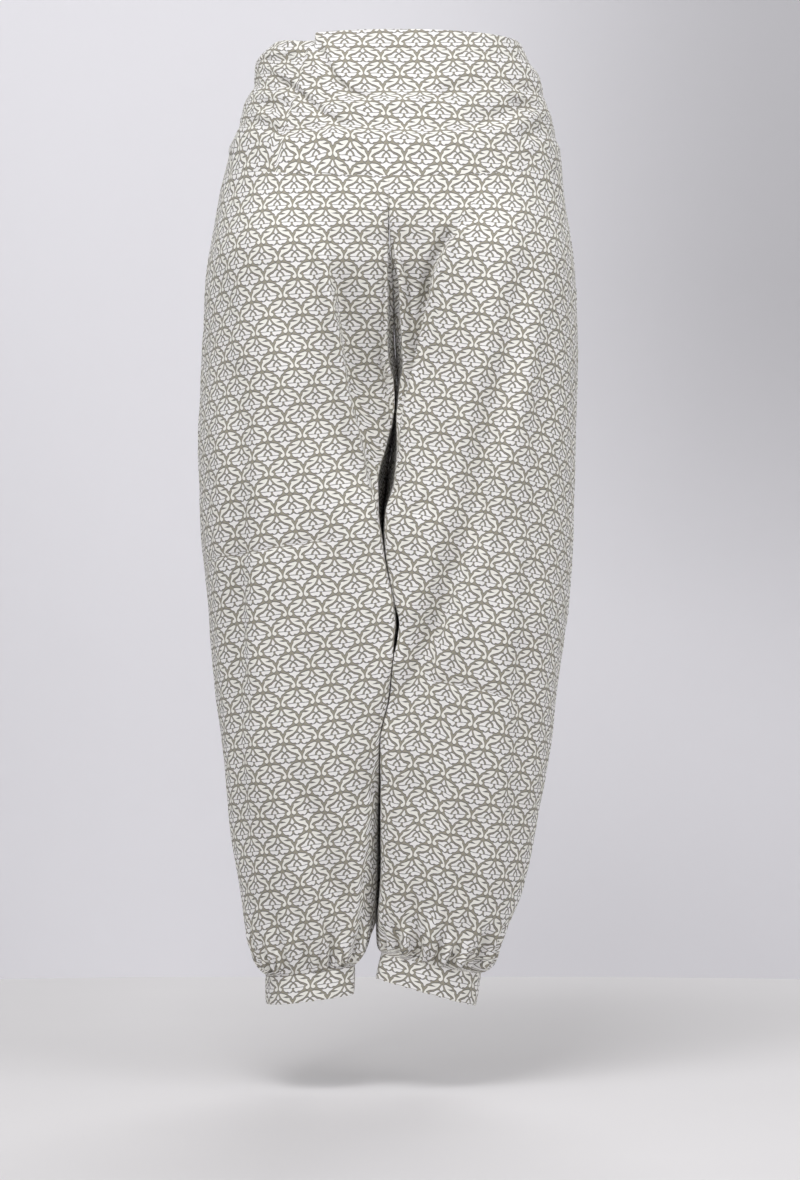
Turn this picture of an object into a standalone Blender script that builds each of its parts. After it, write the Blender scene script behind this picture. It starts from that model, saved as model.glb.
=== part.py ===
"""Dhoti pants in the pose of being worn: a deep waist yoke, two wide legs with a low crotch, and
narrow cuffs that gather the legs at the ankles.

The origin is the middle of the waist opening, at the level of its top edge. -Y is the garment's
back, +X the wearer's right and +Z up. Sizes below are in millimetres.
"""

import math

import bpy
import numpy as np

MM = 0.001

# The cloth and its seams
WALL = 1.4
DOUBLED_WALL = 2.2
SEAM_GAP = 0.3
CASING_HEIGHT = 19.0
CUFF_HEIGHT = 27.0

# Levels of the main seams
YOKE_SEAM_Z = -130.0
YOKE_SEAM_SIDE_Z = -116.0
YOKE_SEAM_CENTRE_Z = -140.0
CROTCH_Z = -450.0
CUFF_SEAM_Z = -874.0
CENTRE_SEAM_X = -7.4
INSEAM_Y = 4.0

# The garment's outer limits at each level: its outline from behind and from the side
OUTLINE_COLUMNS = ("z", "left", "right", "back", "front")
OUTLINE = (
    (0, -117.0, 118.0, -91.0, 92.0),
    (-12, -129.0, 123.5, -95.0, 94.0),
    (-33, -134.0, 134.0, -102.0, 98.0),
    (-52, -139.0, 141.0, -108.0, 101.0),
    (-71, -146.0, 145.0, -114.0, 103.0),
    (-109, -157.0, 154.5, -125.0, 107.0),
    (-147, -166.0, 158.5, -134.0, 110.0),
    (-185, -173.5, 164.5, -139.5, 112.0),
    (-222, -180.0, 169.0, -140.5, 113.0),
    (-300, -183.5, 171.0, -136.0, 115.0),
    (-375, -188.0, 169.5, -130.0, 117.0),
    (-450, -186.0, 167.5, -123.0, 118.0),
    (-527, -179.5, 163.0, -115.0, 116.0),
    (-600, -174.0, 154.0, -105.0, 110.0),
    (-680, -164.0, 143.5, -93.0, 100.0),
    (-750, -157.0, 131.0, -79.0, 88.0),
    (-800, -148.5, 118.0, -68.0, 77.0),
    (-838, -141.0, 101.0, -58.5, 67.0),
    (-860, -134.0, 90.0, -51.5, 59.0),
    (-874, -124.5, 80.0, -45.0, 50.0),
)

# Where the two legs meet: the inner limit of each at its back, how square its folded back edge
# is, how deep that edge's rounding reaches as a share of the leg's depth, and how far its inner
# side moves towards +X over 100 mm of depth
INNER_COLUMNS = ("z", "left", "right", "left_square", "right_square", "rounding", "slant")
INNER = (
    (-130, -8.2, -6.6, 0.60, 0.45, 0.35, 0.0),
    (-170, -8.8, -6.0, 0.46, 0.40, 0.35, 0.0),
    (-200, -9.0, -5.5, 0.40, 0.36, 0.35, 0.0),
    (-240, -9.2, -3.0, 0.34, 0.32, 0.35, 0.0),
    (-270, -9.0, 0.5, 0.32, 0.32, 0.35, 0.0),
    (-298, -8.8, 5.5, 0.34, 0.34, 0.35, 0.0),
    (-325, -7.6, 4.2, 0.40, 0.40, 0.35, 0.0),
    (-355, -6.6, 0.6, 0.48, 0.46, 0.35, 0.0),
    (-385, -10.0, -1.5, 0.54, 0.54, 0.33, 0.0),
    (-420, -17.5, -3.6, 0.60, 0.64, 0.30, 0.0),
    (-450, -15.5, -12.0, 0.64, 0.72, 0.26, 0.0),
    (-468, -14.0, -11.2, 0.68, 0.76, 0.23, 0.5),
    (-500, -9.8, -7.9, 0.76, 0.78, 0.20, 5.0),
    (-530, -3.8, -2.3, 0.80, 0.78, 0.19, 7.0),
    (-550, -1.7, 0.2, 0.80, 0.78, 0.19, 7.0),
    (-610, -7.4, -6.0, 0.80, 0.82, 0.19, 7.0),
    (-660, -18.0, -16.4, 0.78, 0.86, 0.20, 8.0),
    (-700, -18.5, -15.6, 0.66, 0.88, 0.24, 10.0),
    (-770, -20.0, -14.8, 0.50, 0.86, 0.30, 11.0),
    (-815, -21.0, -14.5, 0.42, 0.80, 0.35, 8.0),
    (-838, -20.5, -13.5, 0.42, 0.75, 0.35, 2.0),
    (-852, -24.0, -13.0, 0.46, 0.70, 0.35, 0.0),
    (-862, -30.0, -13.0, 0.50, 0.65, 0.35, 0.0),
    (-874, -40.6, -14.0, 0.56, 0.56, 0.35, 0.0),
)

# How far the centre seams sink in between the legs, from 0 at the yoke to 1 at the crotch
SINK_COLUMNS = ("z", "share")
SINK = (
    (-130, 0.0),
    (-175, 0.05),
    (-230, 0.22),
    (-290, 0.47),
    (-350, 0.71),
    (-400, 0.88),
    (-450, 1.0),
)

# Soft troughs in the cloth, as paths seen from straight behind (face -1) or in front (face 1).
# A negative depth is a ridge. bow moves the middle of the path towards +X, or up where it is level.
FOLD_COLUMNS = ("face", "x0", "z0", "x1", "z1", "bow", "width", "depth")
LEG_FOLDS = (
    (-1, -56.0, -182, -14.0, -370, -6.0, 13.0, 9.0),
    (-1, -108.0, -232, -44.0, -450, 8.0, 15.0, 5.5),
    (-1, -78.0, -225, -42.0, -380, 0.0, 14.0, -3.5),
    (-1, 50.0, -170, 13.0, -330, -5.0, 11.0, 12.0),
    (-1, 122.0, -195, 46.0, -480, 9.0, 14.0, 9.0),
    (-1, 52.0, -440, -6.0, -650, 6.0, 14.0, 9.0),
    (-1, 146.0, -175, 134.0, -560, -6.0, 13.0, 5.0),
    (-1, 132.0, -530, 116.0, -700, 0.0, 13.0, 5.0),
    (-1, -152.0, -370, -150.0, -800, 6.0, 14.0, 6.5),
    (-1, -86.0, -690, -46.0, -856, -6.0, 13.0, 6.0),
    (-1, -104.0, -730, -66.0, -862, -5.0, 12.0, -3.5),
    (-1, 62.0, -730, 52.0, -855, 4.0, 12.0, 5.0),
    (1, -60.0, -165, -38.0, -330, 6.0, 14.0, 8.0),
    (1, 58.0, -160, 26.0, -350, -6.0, 14.0, 9.0),
    (1, -125.0, -220, -70.0, -470, 8.0, 16.0, 8.0),
    (1, 118.0, -240, 70.0, -480, -8.0, 16.0, 8.0),
    (1, -80.0, -520, -95.0, -760, 6.0, 15.0, 6.5),
    (1, 92.0, -500, 62.0, -740, -6.0, 15.0, 6.5),
    (1, -30.0, -640, -60.0, -830, 5.0, 14.0, 5.0),
)

# The waist slumps into shallow swags across the yoke
YOKE_FOLDS = (
    (-1, -127.0, -20, -66.0, -80, -3.0, 10.0, 5.5),
    (-1, -76.0, -16, -14.0, -68, -5.0, 10.0, 5.5),
    (-1, -20.0, -72, 20.0, -72, 0.0, 10.0, 3.0),
    (-1, 24.0, -66, 88.0, -40, -4.0, 10.0, 5.5),
    (-1, 72.0, -88, 134.0, -54, -3.0, 10.0, 5.0),
    (-1, -112.0, -98, 84.0, -96, -4.0, 10.0, -3.5),
    (1, -112.0, -40, -20.0, -80, -8.0, 10.0, 5.0),
    (1, 8.0, -80, 108.0, -44, -8.0, 10.0, 5.0),
    (1, -90.0, -100, 90.0, -100, -4.0, 10.0, -3.5),
)

# The top edge dips beside a small tuck at the back
TUCK_X = -75.0
TUCK_WIDTH = 22.0
TUCK_DIP = 6.0

# Each leg's lower end: how much the cuff's seam and hem rise towards the other leg, how far the
# seam lies above the nominal level, how much the back is higher than the front, and the hem
CUFF_COLUMNS = ("seam_rise", "hem_rise", "lift", "back_lift", "hem_x", "hem_half_width")
CUFFS = {
    "left": (0.131, 0.131, -2.6, 1.0, -82.4, 42.0),
    "right": (0.210, 0.280, 3.0, 3.0, 27.8, 47.5),
}
CUFF_TILT_REACH = 150.0
CUFF_HALF_DEPTH = 45.0
HEM_DEPTH_SHARE = 0.97

# The gathers above each cuff, how unevenly they are spaced and how even their depth is
GATHERS = 17
GATHER_DEPTH = 2.6
GATHER_PEAK = 14.0
GATHER_REACH = 58.0
GATHER_WANDER = 0.9
GATHER_EVENNESS = 0.65

# How a cross-section is shaped
CREST_SHARE = 0.5
FULLNESS = 0.6
LEAST_ROUNDING = 22.0
SEAM_HANDLE = 0.4
TOP_BLEND = 78.0
TOP_LEVEL_REACH = 160.0

# How a fold is shaped: the rim beside its trough, and how it runs out at its ends
RIM_SHARE = 0.22
RIM_PLACE = 1.9
RUN_OUT = 0.03
RUN_OUT_POWER = 0.6

# Which way the cloth faces where a fold fades in, as the level part of its normal
FACING_LOW = 0.25
FACING_HIGH = 0.7

# How far from each seam the folds start
FOLDS_BELOW_YOKE = 18.0
FOLDS_ABOVE_CUFF = 25.0
FOLDS_BESIDE_SEAM = 6.0
FOLDS_ABOVE_YOKE_SEAM = 14.0
FOLDS_BELOW_TOP = 12.0

# How many faces each panel has: columns from the inner seam to the folded edge, to the crest and
# to the side seam, crowded towards the folded edge, and rows from level to level
LEG_COLUMNS = (4, 9, 8)
LEG_ROWS = ((-130, 0), (-230, 5), (-400, 6), (-450, 2), (-520, 2), (-816, 8))
GATHER_ROWS = 5
FIRST_BEND_LEAST = 0.09
BEND_SPACING = 0.2
CREST_CROWDING = 1.35
YOKE_COLUMNS = {-1: 32, 1: 22}
YOKE_ROWS = {-1: 12, 1: 8}
CASING_ROWS = 2
HEM_STEP = 0.01
CUFF_COLUMNS_ROUND = 44
CUFF_ROWS = 2

FACES = {"back": -1, "front": 1}
SIDES = {"left": -1, "right": 1}
WHITE_AND_KHAKI = (0.56, 0.545, 0.475)
COTTON_ROUGHNESS = 0.85
CREASE_DEGREES = 70.0
NUDGE = 0.004


def smoothstep(low, high, value):
    share = np.clip((np.asarray(value, float) - low) / (high - low), 0.0, 1.0)
    return share * share * (3.0 - 2.0 * share)


def named(columns, row):
    return dict(zip(columns, row))


def column(table, columns, name, z):
    """A table's column at level z, on a smooth curve through its rows."""
    levels = -np.array([row[0] for row in table], float)
    values = np.array([row[columns.index(name)] for row in table], float)
    rises = np.diff(values) / np.diff(levels)
    joint = np.maximum(rises[:-1] * rises[1:], 0.0)
    between = 2 * joint / np.where(joint > 0, rises[:-1] + rises[1:], 1.0)
    slopes = np.concatenate([rises[:1], between, rises[-1:]])
    level = min(max(-z, levels[0]), levels[-1])
    i = min(max(int(np.searchsorted(levels, level)) - 1, 0), len(levels) - 2)
    span = levels[i + 1] - levels[i]
    t = (level - levels[i]) / span
    return float(
        values[i] * (1 + 2 * t) * (1 - t) ** 2
        + slopes[i] * span * t * (1 - t) ** 2
        + values[i + 1] * t * t * (3 - 2 * t)
        + slopes[i + 1] * span * t * t * (t - 1)
    )


def outline(name, z):
    return column(OUTLINE, OUTLINE_COLUMNS, name, z)


def crest_y(face, z):
    return outline("back" if face < 0 else "front", z)


def inner(name, z):
    return column(INNER, INNER_COLUMNS, name, z)


def arc(start, start_handle, end_handle, end, steps=24):
    """A cubic arc between two points, as a polyline."""
    t = np.linspace(0.0, 1.0, steps + 1)[:, None]
    points = [np.array(point, float) for point in (start, start_handle, end_handle, end)]
    weights = ((1 - t) ** 3, 3 * t * (1 - t) ** 2, 3 * t * t * (1 - t), t**3)
    return sum(weight * point for weight, point in zip(weights, points))


def quarter(start, end):
    """A quarter of an oval, from its crest to its side."""
    start_handle = (start[0] + FULLNESS * (end[0] - start[0]), start[1])
    end_handle = (end[0], end[1] + FULLNESS * (start[1] - end[1]))
    return arc(start, start_handle, end_handle, end)


def lengths_along(line):
    return np.concatenate([[0.0], np.cumsum(np.linalg.norm(np.diff(line, axis=0), axis=1))])


def at_lengths(line, wanted):
    """Points of a polyline at the given lengths along it, and straight on past its ends."""
    along = lengths_along(line)
    points = np.stack([np.interp(wanted, along, line[:, k]) for k in range(2)], axis=1)
    first = (line[1] - line[0]) / max(along[1], 1e-6)
    last = (line[-1] - line[-2]) / max(along[-1] - along[-2], 1e-6)
    before = np.minimum(wanted, 0.0)[:, None]
    after = np.maximum(wanted - along[-1], 0.0)[:, None]
    return points + before * first + after * last


def level_normals(line, wanted, turn):
    """Unit normals of a polyline in its plane, to its right or, where turn is -1, its left."""
    ahead = at_lengths(line, wanted + 0.5) - at_lengths(line, wanted - 0.5)
    ahead /= np.maximum(np.linalg.norm(ahead, axis=1), 1e-6)[:, None]
    return np.stack([ahead[:, 1], -ahead[:, 0]], axis=1) * turn


def waist_half(side, face, z):
    """A quarter of the garment's ring, from the centre seam to the side seam."""
    centre_x = CENTRE_SEAM_X * float(smoothstep(0.0, -YOKE_SEAM_Z, -z))
    return quarter((centre_x, crest_y(face, z)), (outline(side, z), 0.0))


def centre_seam_y(face, z):
    """The centre seam's depth: it sinks between the legs, down to the crotch."""
    crest = crest_y(face, z)
    return crest + (INSEAM_Y - crest) * column(SINK, SINK_COLUMNS, "share", z)


def inner_seam_x(side, z):
    """The leg's inner edge: against the other leg's along the centre seam, and clear below it."""
    own = inner(side, z)
    shared = (inner("left", z) + inner("right", z)) / 2 + SIDES[side] * SEAM_GAP / 2
    return own + (shared - own) * float(smoothstep(CROTCH_Z - 30.0, CROTCH_Z, z))


def leg_half(side, face, z):
    """Half of a leg's section, from inner seam to side seam, and the lengths of its two bends."""
    inner_x, outer_x, crest_level = inner(side, z), outline(side, z), crest_y(face, z)
    square = inner(side + "_square", z) if face < 0 else FULLNESS
    seam = (inner_seam_x(side, z), centre_seam_y(face, z))
    depth = abs(seam[1] - crest_level)
    rounding = min(max(LEAST_ROUNDING, inner("rounding", z) * depth), FULLNESS * depth)
    mouth = (inner_x, crest_level - face * rounding)
    crest = (inner_x + (outer_x - inner_x) * CREST_SHARE, crest_level)
    drop = SEAM_HANDLE * (mouth[1] - seam[1])
    wall = arc(seam, (seam[0], seam[1] + drop), (mouth[0], mouth[1] - drop), mouth)
    corner_low = (inner_x, mouth[1] + square * (crest_level - mouth[1]))
    corner_high = (crest[0] + square * (inner_x - crest[0]), crest_level)
    corner = arc(mouth, corner_low, corner_high, crest)
    line = np.concatenate([wall, corner[1:], quarter(crest, (outer_x, 0.0))[1:]])
    near_inner = np.clip((outer_x - line[:, 0]) / (outer_x - inner_x), 0.0, 1.0) ** 2
    line[:, 0] += inner("slant", z) * (line[:, 1] - crest_y(-1, z)) / 100.0 * near_inner
    bends = lengths_along(line)[[len(wall) - 1, len(wall) + len(corner) - 2]]
    weight = float(smoothstep(0.0, TOP_BLEND, YOKE_SEAM_Z - z))
    if weight < 1.0:
        shares = np.linspace(0.0, 1.0, len(line))
        waist = waist_half(side, face, z)
        waist = at_lengths(waist, shares * lengths_along(waist)[-1])
        line = at_lengths(line, shares * lengths_along(line)[-1])
        line = waist + weight * (line - waist)
    return line, bends


def column_lengths(line, bends, around):
    """Lengths along half a section for columns numbered 0 (inner seam) to 1 (side seam).

    The columns follow the folded edge and the crest down the leg, and stay apart near the top.
    """
    total = lengths_along(line)[-1]
    counts = np.cumsum((0,) + LEG_COLUMNS) / sum(LEG_COLUMNS)
    first = math.hypot(bends[0] / total, FIRST_BEND_LEAST)
    second = max(bends[1] / total, first + BEND_SPACING)
    places = np.array([0.0, first, second, 1.0]) * total
    share = np.clip((around - counts[1]) / (counts[2] - counts[1]), 0.0, 1.0)
    crowded = around + (counts[2] - counts[1]) * (share**CREST_CROWDING - share)
    inside = np.interp(crowded, counts, places)
    before = np.minimum(around, 0.0) * (places[1] - places[0]) / (counts[1] - counts[0])
    after = np.maximum(around - 1.0, 0.0) * (places[3] - places[2]) / (counts[3] - counts[2])
    return SEAM_GAP / 2 + (inside + before + after) * (total - SEAM_GAP) / total


def fold_offset(folds, x, z, normal_y):
    """How far the folds move points at x, z along normals with this y."""
    offset = np.zeros_like(x)
    for row in folds:
        fold = named(FOLD_COLUMNS, row)
        run_x, run_z = fold["x1"] - fold["x0"], fold["z1"] - fold["z0"]
        length = math.hypot(run_x, run_z)
        run_x, run_z = run_x / length, run_z / length
        from_x, from_z = x - fold["x0"], z - fold["z0"]
        along = (from_x * run_x + from_z * run_z) / length
        inside = np.clip(along, 0.0, 1.0)
        bowed = fold["bow"] * 4 * inside * (1 - inside)
        across = from_z * run_x - from_x * run_z - bowed
        distance = np.hypot(across, (along - inside) * length) / fold["width"]
        fade = np.sin(np.pi * np.clip(inside, RUN_OUT, 1.0 - RUN_OUT)) ** RUN_OUT_POWER
        seen = smoothstep(FACING_LOW, FACING_HIGH, normal_y * fold["face"])
        trough = np.exp(-(distance**2)) - RIM_SHARE * np.exp(-2 * (distance - RIM_PLACE) ** 2)
        offset -= fold["depth"] * fade * seen * trough
    return offset


def gather_offset(side, place, height):
    """The puckers above a cuff. place is 0 to 1 round the leg, height is above the cuff's seam."""
    turn = 2 * math.pi * place
    phase = GATHERS * turn + GATHER_WANDER * np.sin(3 * turn + SIDES[side])
    uneven = GATHER_EVENNESS + (1.0 - GATHER_EVENNESS) * np.sin(2 * turn + SIDES[side] + 0.8)
    rise = max(height / GATHER_PEAK, 0.0)
    swell = rise * math.exp(1.0 - rise)
    swell *= 1.0 - float(smoothstep(0.5 * GATHER_REACH, GATHER_REACH, height))
    return GATHER_DEPTH * swell * uneven * np.cos(phase)


def yoke_seam_z(share):
    """The yoke's lower edge: lowest at the centre seam (0) and highest at the side seam (1)."""
    dip = YOKE_SEAM_CENTRE_Z - YOKE_SEAM_SIDE_Z
    return YOKE_SEAM_SIDE_Z + dip * np.cos(np.pi / 2 * np.clip(share, 0.0, 1.0))


def cuff_seam_offset(side, x, y, z):
    """How far a leg's level is tilted and lifted towards its cuff's seam."""
    cuff = named(CUFF_COLUMNS, CUFFS[side])
    middle = (outline(side, z) + inner(side, z)) / 2
    near = float(smoothstep(CUFF_TILT_REACH, 0.0, z - CUFF_SEAM_Z))
    tilt = -SIDES[side] * cuff["seam_rise"] * (x - middle)
    return near * (cuff["lift"] + tilt - cuff["back_lift"] * y / CUFF_HALF_DEPTH)


def leg_row(side, face, around, z):
    """A row of points on a leg's outer surface at nominal level z, from inner to side seam."""
    line, bends = leg_half(side, face, z)
    wanted = column_lengths(line, bends, around)
    share = np.clip(wanted / lengths_along(line)[-1], 0.0, 1.0)
    points = at_lengths(line, wanted)
    normal = level_normals(line, wanted, SIDES[side] * -face)
    x, y = points[:, 0], points[:, 1]
    top = (1.0 - min(max((YOKE_SEAM_Z - z) / TOP_LEVEL_REACH, 0.0), 1.0)) ** 2
    height = z + (yoke_seam_z(share) - YOKE_SEAM_Z) * top + cuff_seam_offset(side, x, y, z)
    height += SEAM_GAP / 2 * (1.0 - 2.0 * float(smoothstep(CUFF_SEAM_Z, YOKE_SEAM_Z, z)))
    moved = fold_offset(LEG_FOLDS, x, height, normal[:, 1])
    moved *= smoothstep(0.0, FOLDS_BELOW_YOKE, YOKE_SEAM_Z - z)
    moved *= smoothstep(0.0, FOLDS_ABOVE_CUFF, z - CUFF_SEAM_Z)
    moved *= smoothstep(0.0, FOLDS_BESIDE_SEAM, wanted)
    place = 0.5 * share if face < 0 else 1.0 - 0.5 * share
    moved += gather_offset(side, place, z - CUFF_SEAM_Z)
    return np.column_stack([x + normal[:, 0] * moved, y + normal[:, 1] * moved, height])


def yoke_row(face, around, level):
    """A row of points on the yoke's outer surface, around from -1 (left side seam) to 1 (right).

    level is 0 at the top edge, 1 at the casing's stitch line and 2 at the yoke's lower seam.
    """
    points = np.zeros((len(around), 3))
    casing, below = min(level, 1.0), max(level - 1.0, 0.0)
    nominal = -CASING_HEIGHT * casing + (YOKE_SEAM_Z + CASING_HEIGHT) * below
    for side, sign in SIDES.items():
        own = around > 0 if sign > 0 else around <= 0
        share = np.abs(around[own])
        line = waist_half(side, face, nominal)
        wanted = share * (lengths_along(line)[-1] - SEAM_GAP / 2)
        near = at_lengths(line, wanted)
        normal = level_normals(line, wanted, sign * -face)
        low = yoke_seam_z(share) + SEAM_GAP / 2
        z = -CASING_HEIGHT * casing + (low + CASING_HEIGHT) * below
        if face < 0:
            past = (TUCK_X - near[:, 0]) / TUCK_WIDTH
            dipped = smoothstep(0.0, 0.2, past) * smoothstep(2.0, 0.4, past)
            z = z - TUCK_DIP * (1.0 - casing) * dipped
        moved = fold_offset(YOKE_FOLDS, near[:, 0], z, normal[:, 1])
        moved *= smoothstep(0.0, FOLDS_ABOVE_YOKE_SEAM, z - low)
        moved *= smoothstep(0.0, FOLDS_BELOW_TOP, -z)
        points[own] = np.column_stack([near + normal * moved[:, None], z])
    return points


def cuff_ring(side, around, share):
    """A ring of points on a cuff, around from 0 to 2, share from 0 at its seam to 1 at its hem."""
    cuff = named(CUFF_COLUMNS, CUFFS[side])
    halves = []
    for face in (-1, 1):
        own = around[around < 1.0] if face < 0 else 2.0 - around[around >= 1.0]
        line, _ = leg_half(side, face, CUFF_SEAM_Z)
        halves.append(at_lengths(line, own * lengths_along(line)[-1]))
    x, y = np.concatenate(halves).T
    limits = outline(side, CUFF_SEAM_Z), inner(side, CUFF_SEAM_Z)
    across = x - sum(limits) / 2
    hem_across = across * cuff["hem_half_width"] / abs(limits[0] - limits[1]) * 2
    seam_z = CUFF_SEAM_Z - SEAM_GAP / 2 + cuff_seam_offset(side, x, y, CUFF_SEAM_Z)
    hem_level = CUFF_SEAM_Z + cuff["lift"] - CUFF_HEIGHT
    hem_z = hem_level - cuff["back_lift"] * y / CUFF_HALF_DEPTH
    hem_z -= SIDES[side] * cuff["hem_rise"] * hem_across
    seam = np.column_stack([x, y, seam_z])
    hem = np.column_stack([cuff["hem_x"] + hem_across, y * HEM_DEPTH_SHARE, hem_z])
    return seam + share * (hem - seam)


def normals_of(row, ahead, behind, above, below, level_only):
    """Outward unit normals of a row, from its neighbours; level where the row is a cut edge."""
    normal = np.cross(ahead - behind, below - above)
    if level_only:
        normal[:, 2] = 0.0
    return normal / np.linalg.norm(normal, axis=1, keepdims=True)


def strip(upper, upper_count, lower, lower_count, ring):
    """Faces between two rows of points, where the lower row may have twice the upper's columns."""
    faces = []
    columns = upper_count if ring else upper_count - 1
    for i in range(columns):
        a, b = upper + i, upper + (i + 1) % upper_count
        if lower_count == upper_count:
            faces.append((a, lower + i, lower + (i + 1) % lower_count, b))
        else:
            c, d, e = lower + 2 * i, lower + 2 * i + 1, lower + 2 * i + 2
            faces += [(a, c, d), (a, d, b), (b, d, e)]
    return faces


def wall_mesh(outer_rows, inner_rows, ring=False):
    """A closed wall between an outer and an inner surface, given as matching rows of points."""
    counts = [len(row) for row in outer_rows]
    starts = np.concatenate([[0], np.cumsum(counts)]).astype(int)
    total = int(starts[-1])
    vertices = np.concatenate(list(outer_rows) + list(inner_rows))
    faces = []
    for i in range(len(counts) - 1):
        outer = strip(int(starts[i]), counts[i], int(starts[i + 1]), counts[i + 1], ring)
        faces += outer
        faces += [tuple(total + corner for corner in reversed(face)) for face in outer]
    for start, count, turn in ((0, counts[0], 1), (int(starts[-2]), counts[-1], -1)):
        for i in range(count if ring else count - 1):
            a, b = start + i, start + (i + 1) % count
            faces.append((a, b, total + b, total + a)[::turn])
    if not ring:
        for i in range(len(counts) - 1):
            first, below = int(starts[i]), int(starts[i + 1])
            faces.append((below, first, total + first, total + below))
            last, below = first + counts[i] - 1, below + counts[i + 1] - 1
            faces.append((last, below, total + below, total + last))
    return vertices, faces


def facing_out(vertices, faces):
    """The faces, turned round if they enclose a negative volume."""
    volume = 0.0
    for corners in (3, 4):
        own = np.array([face for face in faces if len(face) == corners], int)
        for k in range(1, corners - 1 if len(own) else 1):
            a, b, c = (vertices[own[:, i]] for i in (0, k, k + 1))
            volume += float((a * np.cross(b, c)).sum())
    return faces if volume > 0 else [face[::-1] for face in faces]


def wall_from(rows, thickness):
    """A wall's mesh from (points, normals) rows of its outer surface, thickened inwards."""
    outer_rows = [points for points, _ in rows]
    inner_rows = [points - normals * thick for (points, normals), thick in zip(rows, thickness)]
    return wall_mesh(outer_rows, inner_rows)


def add_object(name, vertices, faces):
    mesh = bpy.data.meshes.new(name)
    corners = [tuple(float(value) * MM for value in vertex) for vertex in vertices]
    mesh.from_pydata(corners, [], facing_out(vertices, faces))
    mesh.shade_smooth()
    mesh.set_sharp_from_angle(angle=math.radians(CREASE_DEGREES))
    mesh.materials.append(cotton(name + "_cotton"))
    bpy.context.collection.objects.link(bpy.data.objects.new(name, mesh))


def cotton(name):
    material = bpy.data.materials.new(name)
    material.use_nodes = True
    shader = material.node_tree.nodes["Principled BSDF"]
    shader.inputs["Base Color"].default_value = (*WHITE_AND_KHAKI, 1.0)
    shader.inputs["Roughness"].default_value = COTTON_ROUGHNESS
    shader.inputs["Metallic"].default_value = 0.0
    return material


def leg_levels():
    """(level, how many times finer its columns are) for each row of a leg panel."""
    levels = [LEG_ROWS[0][0]]
    for low, count in LEG_ROWS[1:]:
        levels += list(np.linspace(levels[-1], low, count + 1)[1:])
    coarse = [(z, 1) for z in levels]
    fine = [(z, 2) for z in np.linspace(levels[-1], CUFF_SEAM_Z, GATHER_ROWS + 2)[1:]]
    return coarse + fine


def make_leg_panel(side, face_name):
    face = FACES[face_name]
    step = NUDGE * (YOKE_SEAM_Z - CUFF_SEAM_Z)
    rows = []
    levels = leg_levels()
    for z, finer in levels:
        around = np.linspace(0.0, 1.0, sum(LEG_COLUMNS) * finer + 1)
        edge = z in (levels[0][0], levels[-1][0])
        normals = normals_of(
            leg_row(side, face, around, z),
            leg_row(side, face, around + NUDGE, z),
            leg_row(side, face, around - NUDGE, z),
            leg_row(side, face, around, min(z + step, YOKE_SEAM_Z)),
            leg_row(side, face, around, max(z - step, CUFF_SEAM_Z)),
            edge,
        )
        rows.append((leg_row(side, face, around, z), normals * SIDES[side] * face))
    vertices, faces = wall_from(rows, [WALL] * len(rows))
    add_object(f"leg_{side}_{face_name}", vertices, faces)


def make_yoke(face_name):
    face = FACES[face_name]
    around = np.linspace(-1.0, 1.0, YOKE_COLUMNS[face] + 1)
    casing = np.linspace(0.0, 1.0, CASING_ROWS + 1)
    below = np.linspace(1.0, 2.0, YOKE_ROWS[face] + 1)[1:]
    levels = list(casing) + [1.0 + HEM_STEP] + list(below)
    rows, thickness = [], []
    for level in levels:
        normals = normals_of(
            yoke_row(face, around, level),
            yoke_row(face, around + NUDGE, level),
            yoke_row(face, around - NUDGE, level),
            yoke_row(face, around, max(level - NUDGE, 0.0)),
            yoke_row(face, around, min(level + NUDGE, 2.0)),
            level in (0.0, 2.0),
        )
        rows.append((yoke_row(face, around, level), normals * face))
        thickness.append(DOUBLED_WALL if level <= 1.0 else WALL)
    vertices, faces = wall_from(rows, thickness)
    add_object(f"yoke_{face_name}", vertices, faces)


def make_cuff(side):
    around = np.linspace(0.0, 2.0, CUFF_COLUMNS_ROUND, endpoint=False)
    shares = np.linspace(0.0, 1.0, CUFF_ROWS + 1)
    outer_rows = [cuff_ring(side, around, share) for share in shares]
    inner_rows = []
    for ring in outer_rows:
        ahead = np.roll(ring, -1, axis=0) - np.roll(ring, 1, axis=0)
        normals = np.column_stack([ahead[:, 1], -ahead[:, 0], np.zeros(len(ring))])
        normals /= np.linalg.norm(normals, axis=1, keepdims=True)
        inner_rows.append(ring - normals * SIDES[side] * DOUBLED_WALL)
    vertices, faces = wall_mesh(outer_rows, inner_rows, ring=True)
    add_object(f"cuff_{side}", vertices, faces)


def main():
    for thing in list(bpy.data.objects):
        bpy.data.objects.remove(thing, do_unlink=True)
    for face_name in FACES:
        make_yoke(face_name)
        for side in SIDES:
            make_leg_panel(side, face_name)
    for side in SIDES:
        make_cuff(side)


main()
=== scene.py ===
"""The looks of the dhoti pants: printed cotton cloth with its folds, gathers, seams and stitches.

Lengths are in millimetres, apart from the room, lights and camera, which are in metres. The axes
are the frame's: -Y is the garment's back, which the camera sees, +X the wearer's right and +Z up.
"""

import math

import bmesh
import bpy
import numpy as np
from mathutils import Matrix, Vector


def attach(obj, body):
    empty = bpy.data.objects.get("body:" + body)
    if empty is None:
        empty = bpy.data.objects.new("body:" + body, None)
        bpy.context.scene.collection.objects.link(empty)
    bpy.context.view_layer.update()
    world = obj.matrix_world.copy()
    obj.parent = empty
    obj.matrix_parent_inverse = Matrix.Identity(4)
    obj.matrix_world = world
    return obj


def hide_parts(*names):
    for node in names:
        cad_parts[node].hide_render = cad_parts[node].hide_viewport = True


MM = 0.001
FACES = {"back": -1, "front": 1}
SIDES = {"left": -1, "right": 1}

# The gap at each seam, which is wider in the solids
SEAM_GAP = 0.06

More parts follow.
